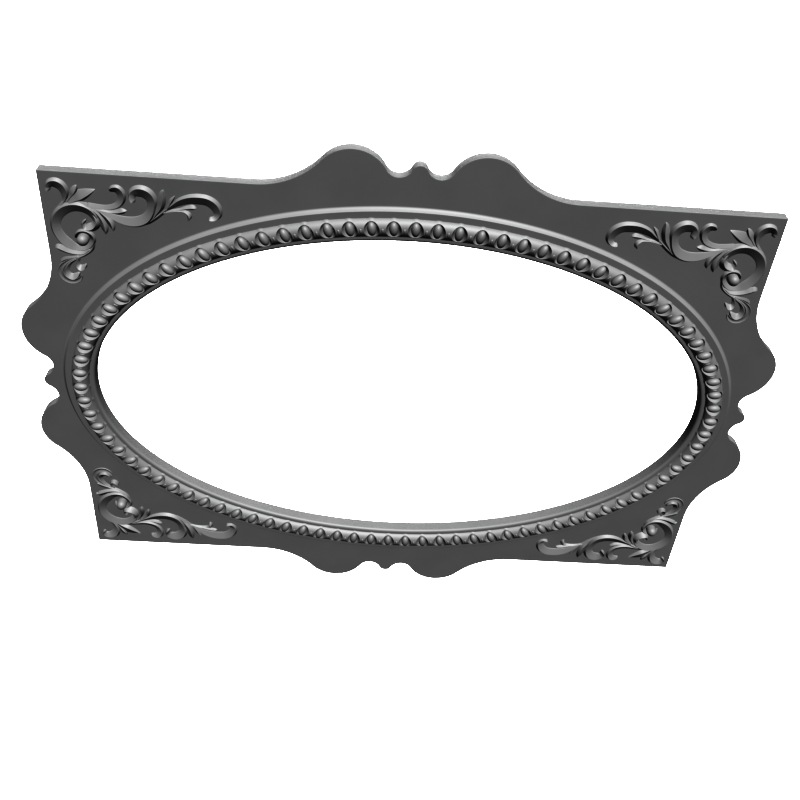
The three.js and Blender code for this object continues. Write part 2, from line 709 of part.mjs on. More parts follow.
// A pan-head wood screw along +Y, with the underside of its head at Y = 0
function screwGeometry() {
  const crown = SCREW_HEAD_HEIGHT / 2;
  const profile = [
    [0, -SCREW_LENGTH],
    [SCREW_RADIUS, SCREW_POINT - SCREW_LENGTH],
    [SCREW_RADIUS, 0],
    [SCREW_HEAD_RADIUS, 0],
    [SCREW_HEAD_RADIUS, crown],
    [SCREW_HEAD_RADIUS - crown, SCREW_HEAD_HEIGHT],
    [0, SCREW_HEAD_HEIGHT],
  ];
  return new THREE.LatheGeometry(profile.map(([r, y]) => new THREE.Vector2(r, y)), ROUND_SIDES);
}

function turnButtonGeometry() {
  const shape = new THREE.Shape();
  const lean = Math.acos((BUTTON_HEAD_RADIUS - BUTTON_TIP_RADIUS) / BUTTON_REACH);
  shape.absarc(0, 0, BUTTON_HEAD_RADIUS, lean, 2 * Math.PI - lean, false);
  shape.absarc(BUTTON_REACH, 0, BUTTON_TIP_RADIUS, -lean, lean, false);
  shape.holes.push(new THREE.Path().absarc(0, 0, BUTTON_BORE / 2, 0, 2 * Math.PI, true));
  const plate = new THREE.ExtrudeGeometry(shape, {
    depth: BUTTON_THICKNESS,
    bevelEnabled: false,
    curveSegments: ROUND_SIDES / 2,
  });
  return plate.rotateX(Math.PI / 2).translate(0, BUTTON_THICKNESS, 0);
}

// Turn buttons lie open along the rim, and each turns on its own screw
function turnButtons(material) {
  const button = turnButtonGeometry();
  const screw = screwGeometry();
  return buttonPlaces.flatMap(({ name, pivot, along }) => {
    const plate = mesh(`turn_button_${name}`, button, material);
    plate.position.copy(pivot).setY(FIT_CLEARANCE);
    plate.rotation.y = Math.atan2(-along.z, along.x);
    const fixing = mesh(`turn_button_screw_${name}`, screw, material);
    fixing.position.copy(pivot).setY(BUTTON_THICKNESS + 2 * FIT_CLEARANCE);
    return [plate, fixing];
  });
}

// Folded strap seen from its side: a flat plate with an eye for the ring's bar at its top
function strapGeometry() {
  const eye = WIRE_RADIUS + FIT_CLEARANCE + STRAP_THICKNESS;
  const middle = FIT_CLEARANCE + eye;
  const meeting = Math.acos((eye - STRAP_THICKNESS) / eye) - Math.PI;
  const shape = new THREE.Shape();
  shape.absarc(middle, 0, eye, Math.PI, meeting, true);
  shape.lineTo(FIT_CLEARANCE + STRAP_THICKNESS, -STRAP_LENGTH);
  shape.lineTo(FIT_CLEARANCE, -STRAP_LENGTH);
  shape.holes.push(new THREE.Path().absarc(middle, 0, eye - STRAP_THICKNESS, 0, 2 * Math.PI, false));
  const plate = new THREE.ExtrudeGeometry(shape, {
    depth: STRAP_WIDTH,
    bevelEnabled: false,
    curveSegments: ROUND_SIDES / 2,
  });
  plate.translate(0, 0, -STRAP_WIDTH / 2);
  const axes = [new THREE.Vector3(0, 1, 0), new THREE.Vector3(0, 0, 1), new THREE.Vector3(1, 0, 0)];
  plate.applyMatrix4(new THREE.Matrix4().makeBasis(...axes));
  const holes = STRAP_HOLE_DROPS.map((drop) => {
    const hole = new THREE.CylinderGeometry(STRAP_HOLE / 2, STRAP_HOLE / 2, 2 * middle, ROUND_SIDES);
    return hole.translate(0, 0, -drop);
  });
  return cut(plate, holes);
}

// A wire ring in the XZ plane: a straight bar through the eye and a round bow below it
function ringGeometry() {
  const path = [];
  const bowSteps = 2 * ROUND_SIDES;
  for (let k = 0; k <= bowSteps; k += 1) {
    const angle = (Math.PI * k) / bowSteps;
    path.push(new THREE.Vector2(RING_HALF_WIDTH * Math.cos(angle), -RING_DROP * Math.sin(angle)));
  }
  const rows = path.map((point, k) => {
    const before = path.at(k - 1);
    const after = path[(k + 1) % path.length];
    const arriving = point.clone().sub(before).normalize();
    const leaving = after.clone().sub(point).normalize();
    const way = arriving.clone().add(leaving).normalize();
    const spread = 1 / way.dot(arriving);
    return Array.from({ length: WIRE_SIDES }, (_, side) => {
      const turn = (2 * Math.PI * side) / WIRE_SIDES;
      const across = WIRE_RADIUS * spread * Math.cos(turn);
      const behind = WIRE_RADIUS * Math.sin(turn);
      return new THREE.Vector3(point.x - way.y * across, behind, point.y + way.x * across);
    });
  });
  return loft(rows, null);
}

function hangers(material) {
  const strap = strapGeometry();
  const ring = ringGeometry();
  const screw = screwGeometry();
  const pairs = SIDES.flatMap(([side, sign]) => {
    const plate = mesh(`hanger_strap_${side}`, strap, material);
    plate.position.copy(hangerPlace(sign));
    const loop = mesh(`hanger_ring_${side}`, ring, material);
    loop.position.copy(hangerPlace(sign)).setY(2 * FIT_CLEARANCE + WIRE_RADIUS + STRAP_THICKNESS);
    return [plate, loop];
  });
  const screws = hangerScrewPlaces.map(({ name, place }) => {
    const fixing = mesh(`hanger_screw_${name}`, screw, material);
    fixing.position.copy(place).setY(STRAP_THICKNESS + 2 * FIT_CLEARANCE);
    return fixing;
  });
  return [...pairs, ...screws];
}

function wallBumpers(material) {
  const profile = [
    [0, 0],
    [BUMPER_RADIUS, 0],
    [BUMPER_CROWN_RADIUS, BUMPER_HEIGHT],
    [0, BUMPER_HEIGHT],
  ];
  const bumper = new THREE.LatheGeometry(profile.map(([r, y]) => new THREE.Vector2(r, y)), ROUND_SIDES);
  return SIDES.map(([side, sign]) => {
    const pad = mesh(`wall_bumper_${side}`, bumper, material);
    pad.position.set(sign * (BOARD_HALF_WIDTH - BUMPER_INSET), GLUE_LINE, BUMPER_INSET - BOARD_HALF_HEIGHT);
    return pad;
  });
}

const paintedWood = new THREE.MeshStandardMaterial({ color: 0x47474a, roughness: 0.5, metalness: 0 });
const paintedCast = new THREE.MeshStandardMaterial({ color: 0x4c4c4f, roughness: 0.45, metalness: 0 });
const plywood = new THREE.MeshStandardMaterial({ color: 0xc8a878, roughness: 0.8, metalness: 0 });
const platedSteel = new THREE.MeshStandardMaterial({ color: 0xb9bcc0, roughness: 0.35, metalness: 1 });
const rubber = new THREE.MeshStandardMaterial({ color: 0x2a2a2a, roughness: 0.9, metalness: 0 });

const frame = new THREE.Group();
frame.name = "oval_mirror_frame";
frame.add(
  ...boardMembers(paintedWood),
  ...tongues(plywood),
  ...mouldings(paintedWood),
  ...eggBands(paintedCast),
  ...cornerOrnaments(paintedCast),
  ...turnButtons(platedSteel),
  ...hangers(platedSteel),
  ...wallBumpers(rubber),
);

export default frame;
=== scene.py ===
"""Looks of an oval mirror frame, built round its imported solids.

Sizes are in millimetres unless they say otherwise.
"""

import logging
import math
from collections.abc import Iterable, Sequence
from dataclasses import dataclass
from enum import Enum
from typing import Any

import bmesh
import bpy
import numpy as np
from mathutils import Matrix, Vector
from mathutils.geometry import tessellate_polygon


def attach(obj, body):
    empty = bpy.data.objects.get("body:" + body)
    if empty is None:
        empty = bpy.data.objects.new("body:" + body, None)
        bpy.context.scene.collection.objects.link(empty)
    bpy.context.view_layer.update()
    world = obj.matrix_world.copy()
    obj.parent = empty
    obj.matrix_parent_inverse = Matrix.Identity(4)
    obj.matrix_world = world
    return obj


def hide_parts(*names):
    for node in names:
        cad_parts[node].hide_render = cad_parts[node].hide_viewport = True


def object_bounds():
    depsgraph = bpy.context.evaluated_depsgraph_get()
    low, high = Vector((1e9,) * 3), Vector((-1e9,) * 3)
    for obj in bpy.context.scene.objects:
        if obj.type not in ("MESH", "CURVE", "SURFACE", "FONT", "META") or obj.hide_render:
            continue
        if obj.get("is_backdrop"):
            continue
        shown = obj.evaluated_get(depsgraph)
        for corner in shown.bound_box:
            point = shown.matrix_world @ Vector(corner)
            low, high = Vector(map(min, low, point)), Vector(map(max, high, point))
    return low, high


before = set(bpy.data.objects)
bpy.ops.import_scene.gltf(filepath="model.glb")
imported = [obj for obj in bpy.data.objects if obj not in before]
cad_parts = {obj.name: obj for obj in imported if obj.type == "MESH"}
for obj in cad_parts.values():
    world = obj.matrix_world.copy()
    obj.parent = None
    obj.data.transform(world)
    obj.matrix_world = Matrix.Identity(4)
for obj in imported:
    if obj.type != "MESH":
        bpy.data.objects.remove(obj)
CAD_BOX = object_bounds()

LOG = logging.getLogger("oval_mirror_frame")
METRES = 0.001
WELD = 0.002
BODY = "frame"
NOISE_MEAN = 0.5

Colour = tuple[float, float, float]
Pair = tuple[float, float]
Loop = np.ndarray
Facets = tuple[np.ndarray, list[list[int]]]


class Named(Enum):
    """Options whose names are part of the names of pieces."""

    @property
    def word(self) -> str:
        """The option's name in lower case."""
        return self.name.lower()


class Quarter(Named):
    """A quarter of the frame, seen from the front, with the signs of its X and Z, in turning order."""

    TOP_RIGHT = (1, 1)
    TOP_LEFT = (-1, 1)
    BOTTOM_LEFT = (-1, -1)
    BOTTOM_RIGHT = (1, -1)

    def place(self, points: np.ndarray) -> np.ndarray:
        """The same points of the top right quarter in this one."""
        return points * np.array([self.value[0], 1.0, self.value[1]])

    @property
    def flips(self) -> bool:
        """Whether the quarter mirrors the top right one, so that faces turn round."""
        return self.value[0] * self.value[1] < 0


class Side(Named):
    """A side of the frame, seen from the front, with the sign of its X."""

    LEFT = -1
    RIGHT = 1


class Value:
    """A number that changes over a surface. Python's operators on it add Math nodes."""

    def __init__(self, graph: "Graph", socket: bpy.types.NodeSocket) -> None:
        """Keeps the graph and the output socket."""
        self.graph = graph
        self.socket = socket

    def _with(self, operation: str, *terms: Any) -> "Value":
        """A Math node on the terms, in their order."""
        made = self.graph.node("ShaderNodeMath", {"operation": operation}, dict(enumerate(terms)))
        return Value(self.graph, made.outputs[0])

    def __add__(self, other: Any) -> "Value":
        """Sum."""
        return self._with("ADD", self, other)

    def __sub__(self, other: Any) -> "Value":
        """Difference."""
        return self._with("SUBTRACT", self, other)

    def __rsub__(self, other: Any) -> "Value":
        """Difference from a number."""
        return self._with("SUBTRACT", other, self)

    def __mul__(self, other: Any) -> "Value":
        """Product."""
        return self._with("MULTIPLY", self, other)

    def __truediv__(self, other: Any) -> "Value":
        """Quotient."""
        return self._with("DIVIDE", self, other)

    def __rtruediv__(self, other: Any) -> "Value":
        """Quotient of a number."""
        return self._with("DIVIDE", other, self)

    __radd__ = __add__
    __rmul__ = __mul__

    def fraction(self) -> "Value":
        """What is left over a whole number."""
        return self._with("FRACT", self)

    def between(self, low: float, high: float) -> "Value":
        """0 below low, 1 above high, and a smooth step between."""
        sockets = {"Value": self, "From Min": low, "From Max": high}
        made = self.graph.node("ShaderNodeMapRange", {"interpolation_type": "SMOOTHSTEP"}, sockets)
        return Value(self.graph, made.outputs[0])


class Graph:
    """The nodes of one material."""

    def __init__(self, tree: bpy.types.NodeTree) -> None:
        """Empties the tree and keeps it."""
        self.tree = tree
        tree.nodes.clear()

    def node(
        self,
        kind: str,
        settings: dict[str, Any] | None = None,
        sockets: dict[str | int, Any] | None = None,
    ) -> bpy.types.Node:
        """Adds a node.

        Args:
            kind: The node's type.
            settings: Properties, set before the sockets.
            sockets: Numbers, colours or links, by the input's name or place.

        Returns:
            The new node.
        """
        made = self.tree.nodes.new(kind)
        for name, value in (settings or {}).items():
            setattr(made, name, value)
        for key, value in (sockets or {}).items():
            source = value.socket if isinstance(value, Value) else value
            if isinstance(source, bpy.types.NodeSocket):
                self.tree.links.new(source, made.inputs[key])
            else:
                made.inputs[key].default_value = source
        return made

    def place(self, stretch: Sequence[float] = (1.0, 1.0, 1.0)) -> bpy.types.NodeSocket:
        """Where a point lies on the object, in metres, stretched along each axis."""
        terms = {0: self.node("ShaderNodeTexCoord").outputs["Object"], 1: stretch}
        return self.node("ShaderNodeVectorMath", {"operation": "MULTIPLY"}, terms).outputs[0]

    def noise(self, place: bpy.types.NodeSocket, scale: float, detail: float = 2.0) -> Value:
        """Soft noise about 0.5, with so many spots to the metre."""
        made = self.node("ShaderNodeTexNoise", {}, {"Vector": place, "Scale": scale, "Detail": detail})
        return Value(self, made.outputs["Fac"])

    def blend(self, share: Value, low: Colour, high: Colour) -> bpy.types.NodeSocket:
        """A colour between two, by share."""
        sockets = {0: share, 6: (*low, 1.0), 7: (*high, 1.0)}
        return self.node("ShaderNodeMix", {"data_type": "RGBA"}, sockets).outputs[2]

    def bump(self, height: Value, strength: float, depth: float) -> bpy.types.NodeSocket:
        """A normal that follows small heights, of a depth in metres."""
        made = self.node("ShaderNodeBump", {}, {"Strength": strength, "Distance": depth, "Height": height})
        return made.outputs["Normal"]


@dataclass(frozen=True)
class Finish:
    """A finish that goes from one colour to another, made as a procedural material of its name.

    A bump is its strength and its depth in metres. Scales count spots to the metre.
    """

    name: str
    low: Colour
    high: Colour
    bump: Pair | None
    metallic: float = 0.0
    sheen: float = 0.5

    def figure(self, graph: Graph) -> tuple[Value, Value | float, Value]:
        """What changes over the surface: the share of the second colour, the roughness and small heights."""
        raise NotImplementedError

    def material(self) -> bpy.types.Material:
        """Makes the finish.

        Returns:
            The new material.
        """
        made = bpy.data.materials.new(self.name)
        made.use_nodes = True
        graph = Graph(made.node_tree)
        share, roughness, height = self.figure(graph)
        sockets = {
            "Base Color": graph.blend(share, self.low, self.high),
            "Metallic": self.metallic,
            "Roughness": roughness,
            "Specular IOR Level": self.sheen,
        }
        if self.bump:
            sockets["Normal"] = graph.bump(height, *self.bump)
        shader = graph.node("ShaderNodeBsdfPrincipled", {}, sockets)
        graph.node("ShaderNodeOutputMaterial", {}, {"Surface": shader.outputs[0]})
        return made


@dataclass(frozen=True)
class SatinPaint(Finish):
    """Graphite grey satin paint, a little uneven in tone and gloss, with the fine skin of a sprayed coat."""

    name: str = "graphite_satin_paint"
    low: Colour = (0.081, 0.081, 0.0815)
    high: Colour = (0.085, 0.085, 0.0855)
    bump: Pair = (0.12, 0.0001)
    sheen: float = 0.32
    cloud_scale: float = 14.0
    cloud_detail: float = 4.0
    cloud_span: Pair = (0.3, 0.7)
    cloud_roughness: float = 0.06
    skin_scale: float = 900.0
    skin_roughness: float = 0.04
    roughness: float = 0.62

    def figure(self, graph: Graph) -> tuple[Value, Value | float, Value]:
        """What changes over the paint.

        Args:
            graph: What takes the nodes.

        Returns:
            The share of the second colour, the roughness and small heights.
        """
        place = graph.place()
        cloud = graph.noise(place, self.cloud_scale, self.cloud_detail)
        skin = graph.noise(place, self.skin_scale)
        uneven = (cloud - NOISE_MEAN) * self.cloud_roughness + (skin - NOISE_MEAN) * self.skin_roughness
        return cloud.between(*self.cloud_span), self.roughness + uneven, skin


@dataclass(frozen=True)
class RawTimber(Finish):
    """Planed hardwood, unfinished, with its grain along one axis.

    A stretch is its number along the grain and its number across it.
    """

    low: Colour = (0.50, 0.35, 0.20)
    high: Colour = (0.33, 0.20, 0.10)
    bump: Pair = (0.25, 0.0002)
    along: tuple[int, int, int] = (1, 0, 0)
    ring_stretch: Pair = (3.0, 60.0)
    ring_detail: float = 5.0
    ring_count: float = 7.0
    ring_rise: Pair = (0.0, 0.6)
    ring_fall: Pair = (0.75, 1.0)
    ring_share: float = 0.55
    pore_stretch: Pair = (40.0, 1500.0)
    roughness: float = 0.62
    figure_roughness: float = 0.16

    def place(self, graph: Graph, stretch: Pair) -> bpy.types.NodeSocket:
        """Where a point lies, stretched along and across the grain."""
        return graph.place([stretch[0] if axis else stretch[1] for axis in self.along])

    def figure(self, graph: Graph) -> tuple[Value, Value | float, Value]:
        """What changes over the timber.

        Args:
            graph: What takes the nodes.

        Returns:
            The share of the second colour, the roughness and small heights.
        """
        rings = graph.noise(self.place(graph, self.ring_stretch), 1.0, self.ring_detail)
        pores = graph.noise(self.place(graph, self.pore_stretch), 1.0)
        bands = (rings * self.ring_count).fraction()
        bands = bands.between(*self.ring_rise) * (1 - bands.between(*self.ring_fall))
        share = bands * self.ring_share + pores * (1 - self.ring_share)
        return share, self.roughness + share * self.figure_roughness, pores


@dataclass(frozen=True)
class Plywood(Finish):
    """Thin birch plywood, with its plies through the board's thickness."""

    name: str = "birch_plywood"
    low: Colour = (0.60, 0.44, 0.27)
    high: Colour = (0.42, 0.28, 0.15)
    bump: Pair = (0.3, 0.0002)
    ply: float = 1.2
    ply_edge: Pair = (0.45, 0.55)
    ply_share: float = 0.6
    fibre_stretch: tuple[float, float, float] = (60.0, 900.0, 60.0)
    fibre_detail: float = 3.0
    fibre_roughness: float = 0.15
    roughness: float = 0.7

    def figure(self, graph: Graph) -> tuple[Value, Value | float, Value]:
        """What changes over the plywood.

        Args:
            graph: What takes the nodes.

        Returns:
            The share of the second colour, the roughness and small heights.
        """
        split = graph.node("ShaderNodeSeparateXYZ", {}, {0: graph.place()})
        plies = Value(graph, split.outputs["Y"]) / (2 * self.ply * METRES)
        fibre = graph.noise(graph.place(self.fibre_stretch), 1.0, self.fibre_detail)
        share = plies.fraction().between(*self.ply_edge) * self.ply_share + fibre * (1 - self.ply_share)
        return share, self.roughness + fibre * self.fibre_roughness, fibre


@dataclass(frozen=True)
class ZincPlate(Finish):
    """Bright zinc plate on pressed steel, clouded and lightly rubbed."""

    name: str = "bright_zinc_plate"
    low: Colour = (0.24, 0.245, 0.255)
    high: Colour = (0.36, 0.365, 0.375)
    bump: Pair = (0.1, 0.00005)
    metallic: float = 1.0
    cloud_scale: float = 260.0
    cloud_detail: float = 3.0
    cloud_roughness: float = 0.16
    rub_stretch: tuple[float, float, float] = (200.0, 200.0, 4000.0)
    rub_roughness: float = 0.1
    roughness: float = 0.4

    def figure(self, graph: Graph) -> tuple[Value, Value | float, Value]:
        """What changes over the plate.

        Args:
            graph: What takes the nodes.

        Returns:
            The share of the second colour, the roughness and small heights.
        """
        cloud = graph.noise(graph.place(), self.cloud_scale, self.cloud_detail)
        rub = graph.noise(graph.place(self.rub_stretch), 1.0)
        return cloud, self.roughness + cloud * self.cloud_roughness + rub * self.rub_roughness, rub


@dataclass(frozen=True)
class Rubber(Finish):
    """Matt black moulded rubber with a fine grain."""

    name: str = "moulded_rubber"
    low: Colour = (0.016, 0.016, 0.016)
    high: Colour = (0.034, 0.034, 0.033)
    bump: Pair = (0.3, 0.0001)
    grain_scale: float = 2600.0
    grain_detail: float = 3.0
    grain_roughness: float = 0.14
    roughness: float = 0.78

    def figure(self, graph: Graph) -> tuple[Value, Value | float, Value]:
        """What changes over the rubber, all by one grain."""
        grain = graph.noise(graph.place(), self.grain_scale, self.grain_detail)
        return grain, self.roughness + grain * self.grain_roughness, grain


@dataclass(frozen=True)
class PaleFloor(Finish):
    """Plain pale studio floor, smooth and faintly clouded."""

    name: str = "pale_floor"
    low: Colour = (0.86, 0.86, 0.86)
    high: Colour = (0.9, 0.9, 0.9)
    bump: None = None
    cloud_scale: float = 0.6
    roughness: float = 0.8

    def figure(self, graph: Graph) -> tuple[Value, Value | float, Value]:
        """A faint cloud in the floor's colour, with one roughness all over."""
        cloud = graph.noise(graph.place(), self.cloud_scale)
        return cloud, self.roughness, cloud


class Finishes:
    """Every finish of the frame, made once."""

    def __init__(self) -> None:
        """Makes the materials."""
        self.paint = SatinPaint().material()
        self.rail_timber = RawTimber("rail_timber", along=(1, 0, 0)).material()
        self.stile_timber = RawTimber("stile_timber", along=(0, 0, 1)).material()
        self.plywood = Plywood().material()
        self.zinc = ZincPlate().material()
        self.rubber = Rubber().material()


def add_object(name: str, data: bpy.types.ID) -> bpy.types.Object:
    """Adds an object to the scene.

    Args:
        name: Its name.
        data: Its mesh, lamp or lens.

    Returns:
        The new object.
    """
    made = bpy.data.objects.new(name, data)
    bpy.context.scene.collection.objects.link(made)
    return made


class Shape:
    """Points and faces of one piece, gathered before they become a mesh."""

    def __init__(self) -> None:
        """Starts with nothing."""
        self.points: list[np.ndarray] = []
        self.faces: list[list[int]] = []
        self.slots: list[int] = []
        self.count = 0

    def add(
        self, points: np.ndarray, faces: Iterable[Sequence[int]], slot: int = 0, flip: bool = False
    ) -> None:
        """Adds points and the faces between them.

        Args:
            points: Rows of X, Y and Z.
            faces: Corners of each face, counted from these points.
            slot: Place of the faces' finish.
            flip: Whether the faces are turned round.
        """
        for face in faces:
            corners = [int(k) + self.count for k in face]
            self.faces.append(corners[::-1] if flip else corners)
            self.slots.append(slot)
        self.points.append(np.asarray(points, float))
        self.count += len(points)

    def piece(
        self, name: str, finishes: Sequence[bpy.types.Material], crease: float = 38.0
    ) -> bpy.types.Object:
        """Makes the Blender object.

        Args:
            name: The piece's name.
            finishes: Materials by slot.
            crease: Angle in degrees above which an edge is sharp.

        Returns:
            The object, in metres, with points that meet joined and its faces smooth between creases.
        """
        mesh = bpy.data.meshes.new(name)
        mesh.from_pydata(np.concatenate(self.points) * METRES, [], self.faces)
        mesh.polygons.foreach_set("material_index", self.slots)
        joined = bmesh.new()
        joined.from_mesh(mesh)
        bmesh.ops.remove_doubles(joined, verts=joined.verts, dist=WELD * METRES)
        joined.to_mesh(mesh)
        joined.free()
        mesh.polygons.foreach_set("use_smooth", [True] * len(mesh.polygons))
        mesh.set_sharp_from_angle(angle=math.radians(crease))
        for finish in finishes:
            mesh.materials.append(finish)
        mesh.validate()
        return add_object(name, mesh)


def web(rows: int, columns: int, close_rows: bool = False, close_columns: bool = False) -> list[list[int]]:
    """Quads between the points of a grid.

    Args:
        rows: Number of rows.
        columns: Points in a row.
        close_rows: Whether the last row joins the first.
        close_columns: Whether each row is a ring.

    Returns:
        The corners of each quad.
    """
    faces = []
    for r in range(rows if close_rows else rows - 1):
        for c in range(columns if close_columns else columns - 1):
            a, b = r * columns, (r + 1) % rows * columns
            d = (c + 1) % columns
            faces.append([a + c, a + d, b + d, b + c])
    return faces


def raised(flat: np.ndarray, y: np.ndarray | float) -> np.ndarray:
    """Rows of X, Y and Z, from rows of X and Z and from their Y."""
    return np.insert(flat, 1, y, axis=1)


def run_along(points: np.ndarray) -> np.ndarray:
    """Distance along a line at each of its points."""
    return np.concatenate([[0.0], np.cumsum(np.linalg.norm(np.diff(points, axis=0), axis=1))])


def unit(ways: np.ndarray) -> np.ndarray:
    """The same ways, with a length of 1."""
    return ways / np.linalg.norm(ways, axis=-1, keepdims=True)


def swept(rows: Sequence[np.ndarray]) -> Facets:
    """A closed body through rings of as many points each.

    Args:
        rows: The points of each ring.

    Returns:
        Its points and its faces.
    """
    count, last = len(rows[0]), (len(rows) - 1) * len(rows[0])
    ends = [list(reversed(range(count))), [last + k for k in range(count)]]
    return np.concatenate(rows), [*web(len(rows), count, close_columns=True), *ends]


def stacked(rings: Sequence[tuple[np.ndarray, float]]) -> Facets:
    """A closed body through level rings.

    Args:
        rings: X and Z round each ring, turning from +Z to +X, and its Y, from the bottom to the top.

    Returns:
        Its points and its faces, facing out.
    """
    sides = len(rings[0][0])
    rows = [raised(ring, y) for ring, y in rings]
    points = np.concatenate([*rows, [[0.0, rings[0][1], 0.0], [0.0, rings[-1][1], 0.0]]])
    faces = web(len(rings), sides, close_columns=True)
    last, poles = (len(rings) - 1) * sides, len(rings) * sides
    for k in range(sides):
        after = (k + 1) % sides
        faces.append([after, k, poles])
        faces.append([last + k, last + after, poles + 1])
    return points, faces


def circle(sides: int, start: float = 0.0) -> np.ndarray:
    """X and Z round a circle of radius 1, turning from +Z to +X, from an angle in degrees."""
    turn = 2 * np.pi * np.arange(sides) / sides + math.radians(start)
    return np.c_[np.sin(turn), np.cos(turn)]


def lathe(profile: Sequence[tuple[float, float]], sides: int) -> Facets:
    """A turned body round the Y axis.

    Args:
        profile: Radius and height of each ring, from the bottom pole to the top pole.
        sides: Points in a ring.

    Returns:
        Its points and its faces, facing out.
    """
    return stacked([(r * circle(sides), y) for r, y in profile])


def globe(rings: int, sides: int) -> Facets:
    """A ball of radius 1, in so many steps from pole to pole and round about."""
    angles = np.linspace(-np.pi / 2, np.pi / 2, rings + 1)[1:-1]
    return lathe([(math.cos(a), math.sin(a)) for a in angles], sides)


def curve_through(knots: np.ndarray, step: float) -> np.ndarray:
    """A smooth curve through knots.

    Args:
        knots: Rows of numbers, the first two of which are the place.
        step: Distance between the points.

    Returns:
        Rows on the curve, about a step apart, with both ends.
    """
    gap = np.linalg.norm(np.diff(knots[:, :2], axis=0), axis=1)
    slope = np.diff(knots, axis=0) / gap[:, None]
    inner = (slope[:-1] * gap[1:, None] + slope[1:] * gap[:-1, None]) / (gap[:-1] + gap[1:])[:, None]
    lean = np.concatenate([slope[:1], inner, slope[-1:]])
    rows = []
    for k, length in enumerate(gap):
        count = max(2, round(length / step))
        t = (np.arange(count) / count)[:, None]
        rows.append(
            (2 * t**3 - 3 * t**2 + 1) * knots[k]
            + (t**3 - 2 * t**2 + t) * length * lean[k]
            + (3 * t**2 - 2 * t**3) * knots[k + 1]
            + (t**3 - t**2) * length * lean[k + 1]
        )
    return np.concatenate([*rows, knots[-1:]])


def ways_along(points: np.ndarray, closed: bool = False) -> np.ndarray:
    """The unit way along a line.

    Args:
        points: The line's points.
        closed: Whether the last point joins the first.

    Returns:
        The way at each point.
    """
    if closed:
        return unit(np.roll(points, -1, axis=0) - np.roll(points, 1, axis=0))
    return unit(np.gradient(points, axis=0))


@dataclass(frozen=True)
class Plate:
    """A flat plate of any outline, with rounded edges, standing across the Y axis."""

    front: float
    back: float
    front_round: float
    back_round: float
    flat: float = 0.5
    steps: int = 3

    def build(
        self, shape: Shape, loops: Sequence[tuple[Loop, Loop]], slots: tuple[int, int] = (0, 0)
    ) -> None:
        """Adds the plate to a shape.

        Args:
            shape: What takes the points and faces.
            loops: The outline and any holes, as X and Z, each with the way that its points move to be
                one millimetre inside the plate. The outline turns left and the holes turn right.
            slots: Finish of the front and edges, and of the back.
        """
        quarter = np.linspace(0.0, np.pi / 2, self.steps + 1)
        narrow, deep = 1 - np.sin(quarter), 1 - np.cos(quarter)
        rows = [
            (self.front_round + self.flat, self.front),
            *zip(self.front_round * narrow, self.front + self.front_round * deep),
            *zip(self.back_round * deep, self.back - self.back_round * narrow),
            (self.back_round + self.flat, self.back),
        ]
        caps: list[tuple[list[Vector], list[Vector]]] = []
        for outline, inward in loops:
            ring = [raised(outline + inward * inset, y) for inset, y in rows]
            sides = web(len(rows), len(outline), close_columns=True)
            shape.add(np.concatenate(ring), sides, slots[0], flip=True)
            caps.append(([Vector(p) for p in ring[0]], [Vector(p) for p in ring[-1]]))
        for side, slot, want in ((0, slots[0], -1.0), (1, slots[1], 1.0)):
            polygon = [cap[side] for cap in caps]
            corners = np.array([p for line in polygon for p in line])
            faces = [list(face) for face in tessellate_polygon(polygon)]
            a, b, c = (corners[faces[0][k]] for k in range(3))
            shape.add(corners, faces, slot, flip=np.cross(b - a, c - a)[1] * want < 0)


def inward_ways(loop: Loop) -> Loop:
    """The way into a loop.

    Args:
        loop: The loop's points, turning left.

    Returns:
        How each point moves to draw the loop one millimetre further in.
    """
    before = unit(loop - np.roll(loop, 1, axis=0))
    after = unit(np.roll(loop, -1, axis=0) - loop)
    normal = unit(np.c_[-before[:, 1] - after[:, 1], before[:, 0] + after[:, 0]])
    spread = (normal * np.c_[-after[:, 1], after[:, 0]]).sum(axis=1)
    return normal / spread[:, None]


def dress(piece: bpy.types.Object, body: str, nodes: Sequence[str]) -> None:
    """Sets a piece on its body in place of its solids, and reports it.

    Args:
        piece: The piece.
        body: The body that it rides on.
        nodes: The solids that it stands for.
    """
    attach(piece, body)
    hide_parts(*nodes)
    LOG.info("%s rides on %s for %s", piece.name, body, ", ".join(nodes))


@dataclass(frozen=True)
class Oval:
    """The oval of the sight edge, and those drawn round it at a distance."""

    half_width: float = 488.5
    half_height: float = 293.0

    def at(self, angle: np.ndarray | float, out: np.ndarray | float) -> np.ndarray:
        """X and Z at an angle, so far out from the sight edge."""
        reach = np.stack([self.half_width + out, self.half_height + out], axis=-1)
        return reach * np.stack([np.cos(angle), np.sin(angle)], axis=-1)


class OvalWay:
    """Distance along an oval, from its right end and turning left."""

    def __init__(self, oval: Oval, out: float, crowding: float = 1.0, turns: int = 20000) -> None:
        """Measures the way.

        Args:
            oval: The sight oval.
            out: How far out from the sight edge the way runs.
            crowding: How much closer equal distances stand on the sides than at the top.
            turns: Steps in one turn.
        """
        self.turn = np.linspace(-2 * np.pi, 4 * np.pi, 3 * turns + 1)
        run = run_along(oval.at(self.turn, out) / [crowding, 1.0])
        self.around = run[-1] / 3
        self.run = run - self.around

    def angle(self, distance: np.ndarray) -> np.ndarray:
        """The angle at a distance."""
        return np.interp(distance, self.run, self.turn)

    def distance(self, angle: np.ndarray) -> np.ndarray:
        """The distance at an angle."""
        return np.interp(angle, self.turn, self.run)


OVAL = Oval()


